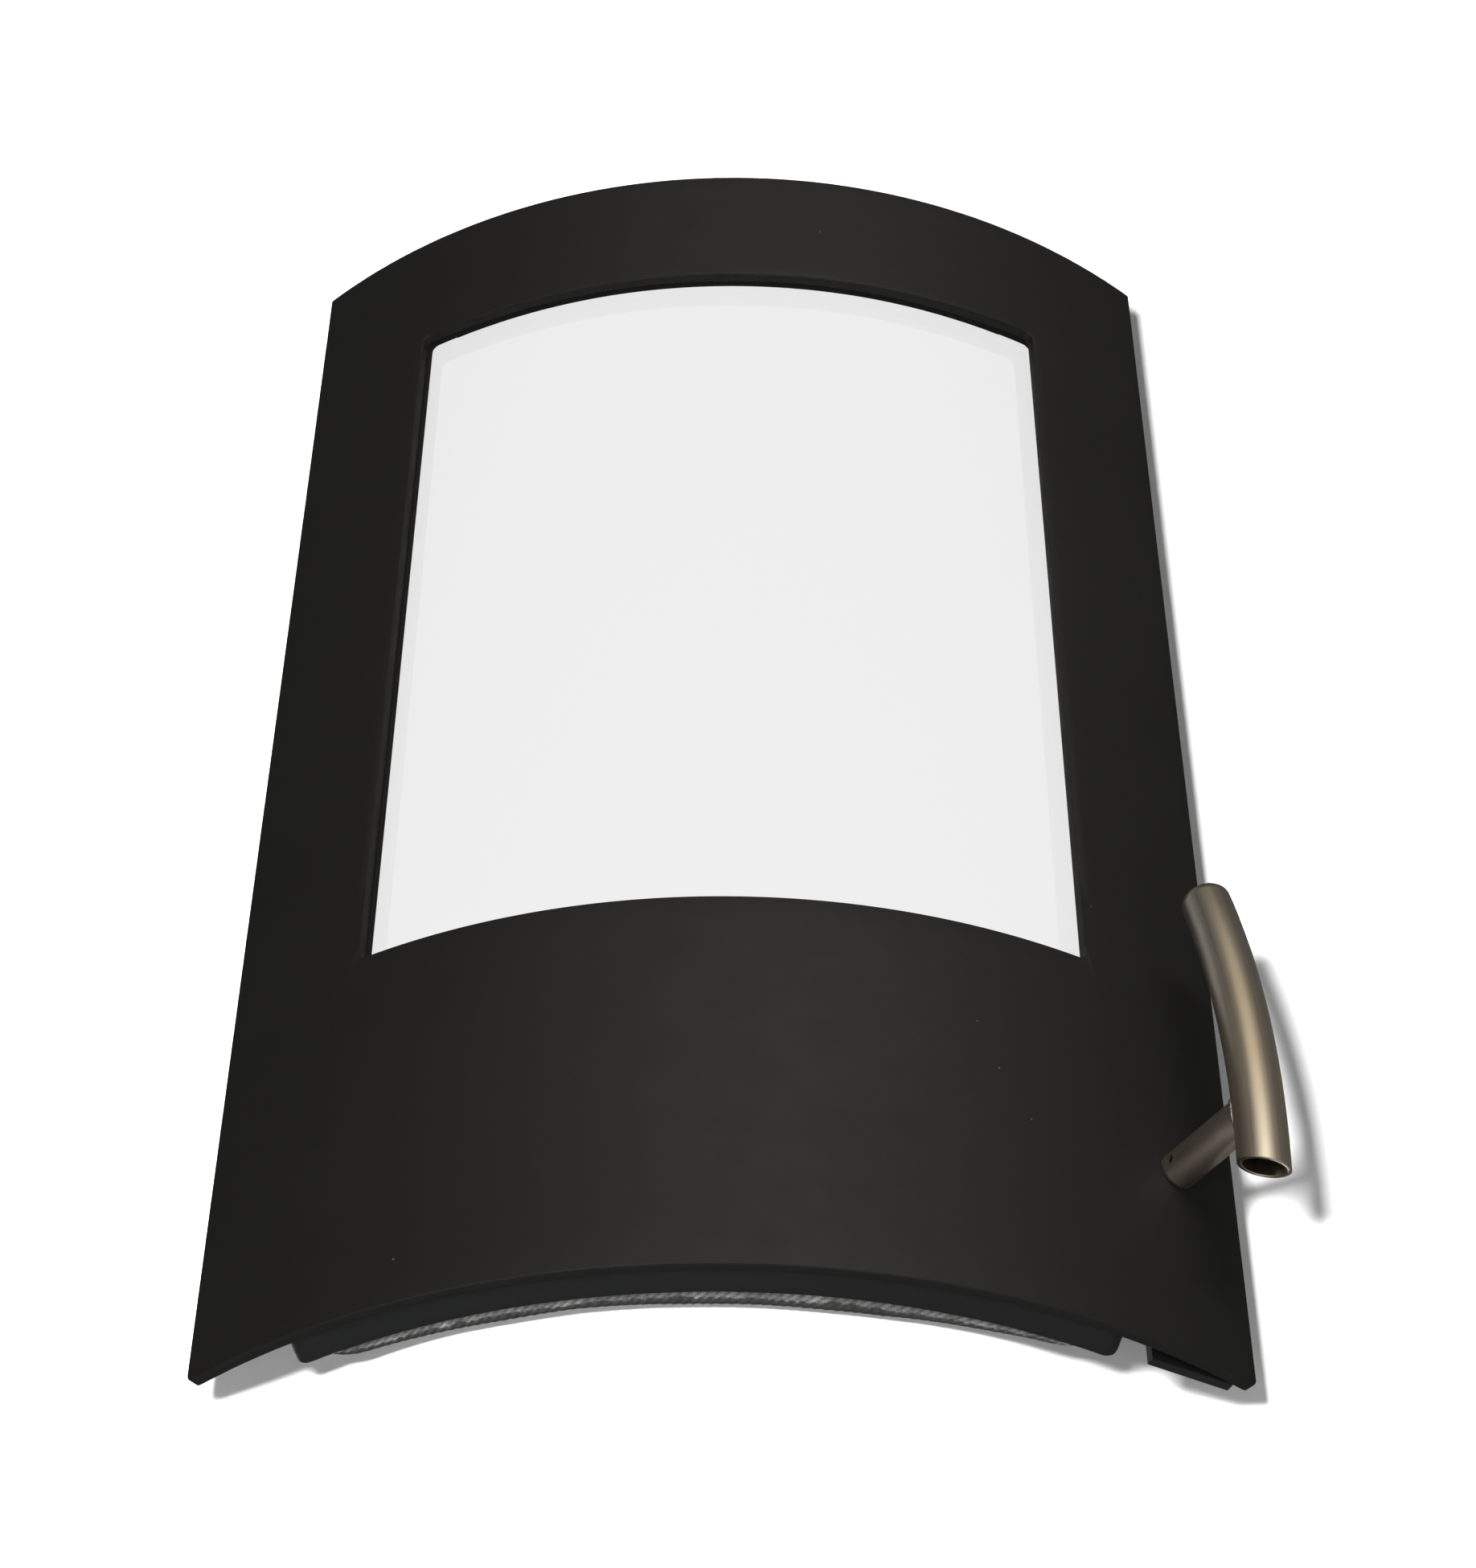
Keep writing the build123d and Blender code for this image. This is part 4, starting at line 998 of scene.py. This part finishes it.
def make_stage():
    """Pale floor well below the door, and a pale screen close behind it that shows from the front only.

    The screen's depth blends from the hollow of the door's curve, in its middle, to a flat on both sides.
    """
    side = np.array([-FLOOR_REACH, FLOOR_REACH])
    points = np.stack(np.broadcast_arrays(side[None, :], side[:, None], FOOT - FLOOR_DROP), -1)
    floor = stage_sheet("floor", points, stage_paint("floor_white", FLOOR_GLOW))
    across = np.linspace(-SCREEN_REACH, SCREEN_REACH, SCREEN_COLUMNS)
    hollow_radius = LIP_RADIUS - 2 * ROPE_HALF_DEPTH - SCREEN_BEHIND
    hollow = CURVE_AXIS - np.sqrt(np.maximum(hollow_radius**2 - across**2, 0))
    blend = eased((np.abs(across) - BLEND_FROM) / BLEND_OVER)
    flat = cad_high.y + SCREEN_BEHIND
    depth = np.where(blend < 1, hollow * (1 - blend) + flat * blend, flat)
    heights = np.array([FOOT - FLOOR_DROP, SCREEN_TOP])
    points = np.stack(np.broadcast_arrays(MIDDLE + across[None, :], depth[None, :], heights[:, None]), -1)
    screen = stage_sheet("screen", points, stage_paint("screen_white", SCREEN_GLOW, front_only=True))


# The lamps: their places, with x from the door's middle, their sizes, powers in watts and tints
LAMP_AIM = (MIDDLE, -0.05, 0.29)
DOOR_LAMPS = (
    ("key_lamp", (0.45, -2.3, 0.9), (1.4, 0.8), 26.5, (1.0, 1.0, 1.0)),
    ("low_lamp", (-0.25, -1.8, -0.85), (1.0, 0.6), 19.0, (1.0, 0.93, 0.82)),
    ("warm_panel", (0.2, -2.0, 2.1), (1.7, 1.4), 10.5, (1.0, 0.86, 0.66)),
    ("rear_lamp", (-0.6, 2.0, 1.2), (1.8, 1.4), 50.0, (1.0, 1.0, 1.0)),
)
SHADE_LAMP = ("shade_lamp", (-0.38, -1.52, -0.62), (0.36, 0.36), 125.0, (1.0, 1.0, 1.0))
SHADE_AIM = (MIDDLE, 0.0, 0.3)
ROOM_LIGHT = 0.12


def lamp(aim, name, place, size, power, tint):
    """Soft square lamp that faces a point and isn't seen itself."""
    light = bpy.data.lights.new(name, "AREA")
    light.shape = "RECTANGLE"
    light.size, light.size_y = size
    light.energy = power
    light.color = tint
    made = bpy.data.objects.new(name, light)
    made.location = (MIDDLE + place[0], place[1], place[2])
    made.rotation_euler = (Vector(aim) - made.location).to_track_quat("-Z", "Y").to_euler()
    made.visible_camera = False
    bpy.context.scene.collection.objects.link(made)
    return made


def link_light(light, state, *names):
    """Keeps a lamp's light and its mirror image off pieces, with EXCLUDE, or on them alone, with INCLUDE."""
    pieces = bpy.data.collections.new(f"{light.name}_{state.lower()}")
    for name in names:
        pieces.objects.link(bpy.data.objects[name])
    light.light_linking.receiver_collection = pieces
    for entry in pieces.collection_objects:
        entry.light_linking.link_state = state


def make_light():
    """Soft lamps before and behind the door, one that throws its shadow on the stage, and a dim room."""
    for settings in DOOR_LAMPS:
        link_light(lamp(LAMP_AIM, *settings), "EXCLUDE", "floor", "screen", "curved_glass")
    link_light(lamp(SHADE_AIM, *SHADE_LAMP), "INCLUDE", "floor", "screen")
    world = bpy.data.worlds.new("pale_room")
    bpy.context.scene.world = world
    world.use_nodes = True
    tree = world.node_tree
    ray = add_node(tree, "ShaderNodeLightPath").outputs
    values = {0: ray["Is Camera Ray"], 1: ray["Is Transmission Ray"]}
    seen = add_node(tree, "ShaderNodeMath", values, operation="MAXIMUM")
    level = add_node(tree, "ShaderNodeMapRange", {0: seen.outputs[0], 3: ROOM_LIGHT, 4: 1.0})
    background = tree.nodes["Background"]
    tree.links.new(level.outputs[0], background.inputs["Strength"])
    background.inputs["Color"].default_value = (1.0, 1.0, 1.0, 1.0)


# The photograph's camera, from low in front of the door: its place and aim, its roll, and its lens
CAMERA_PLACE = Vector((208.5, -1180.4, -929.2)) * MM
CAMERA_AIM = Vector((151.5, -80.0, 170.2)) * MM
CAMERA_ROLL = np.radians(2.037)
LENS = 84.52
LENS_SHIFT = (0.0718, 0.0359)


def make_camera():
    """The photograph's view of the door."""
    turn = (CAMERA_AIM - CAMERA_PLACE).to_track_quat("-Z", "Y").to_matrix().to_4x4()
    data = bpy.data.cameras.new("camera")
    data.sensor_width = 36.0
    data.lens = LENS
    data.shift_x, data.shift_y = LENS_SHIFT
    data.clip_end = 50.0
    camera = bpy.data.objects.new("camera", data)
    camera.matrix_world = Matrix.Translation(CAMERA_PLACE) @ turn @ Matrix.Rotation(CAMERA_ROLL, 4, "Z")
    bpy.context.scene.collection.objects.link(camera)
    bpy.context.scene.camera = camera


make_camera()
make_face_plate()
make_window()
make_inner_frame()
make_rope()
make_tube()
make_small_parts()
make_welds()
make_stage()
make_light()
bpy.context.scene.view_settings.view_transform = "Standard"
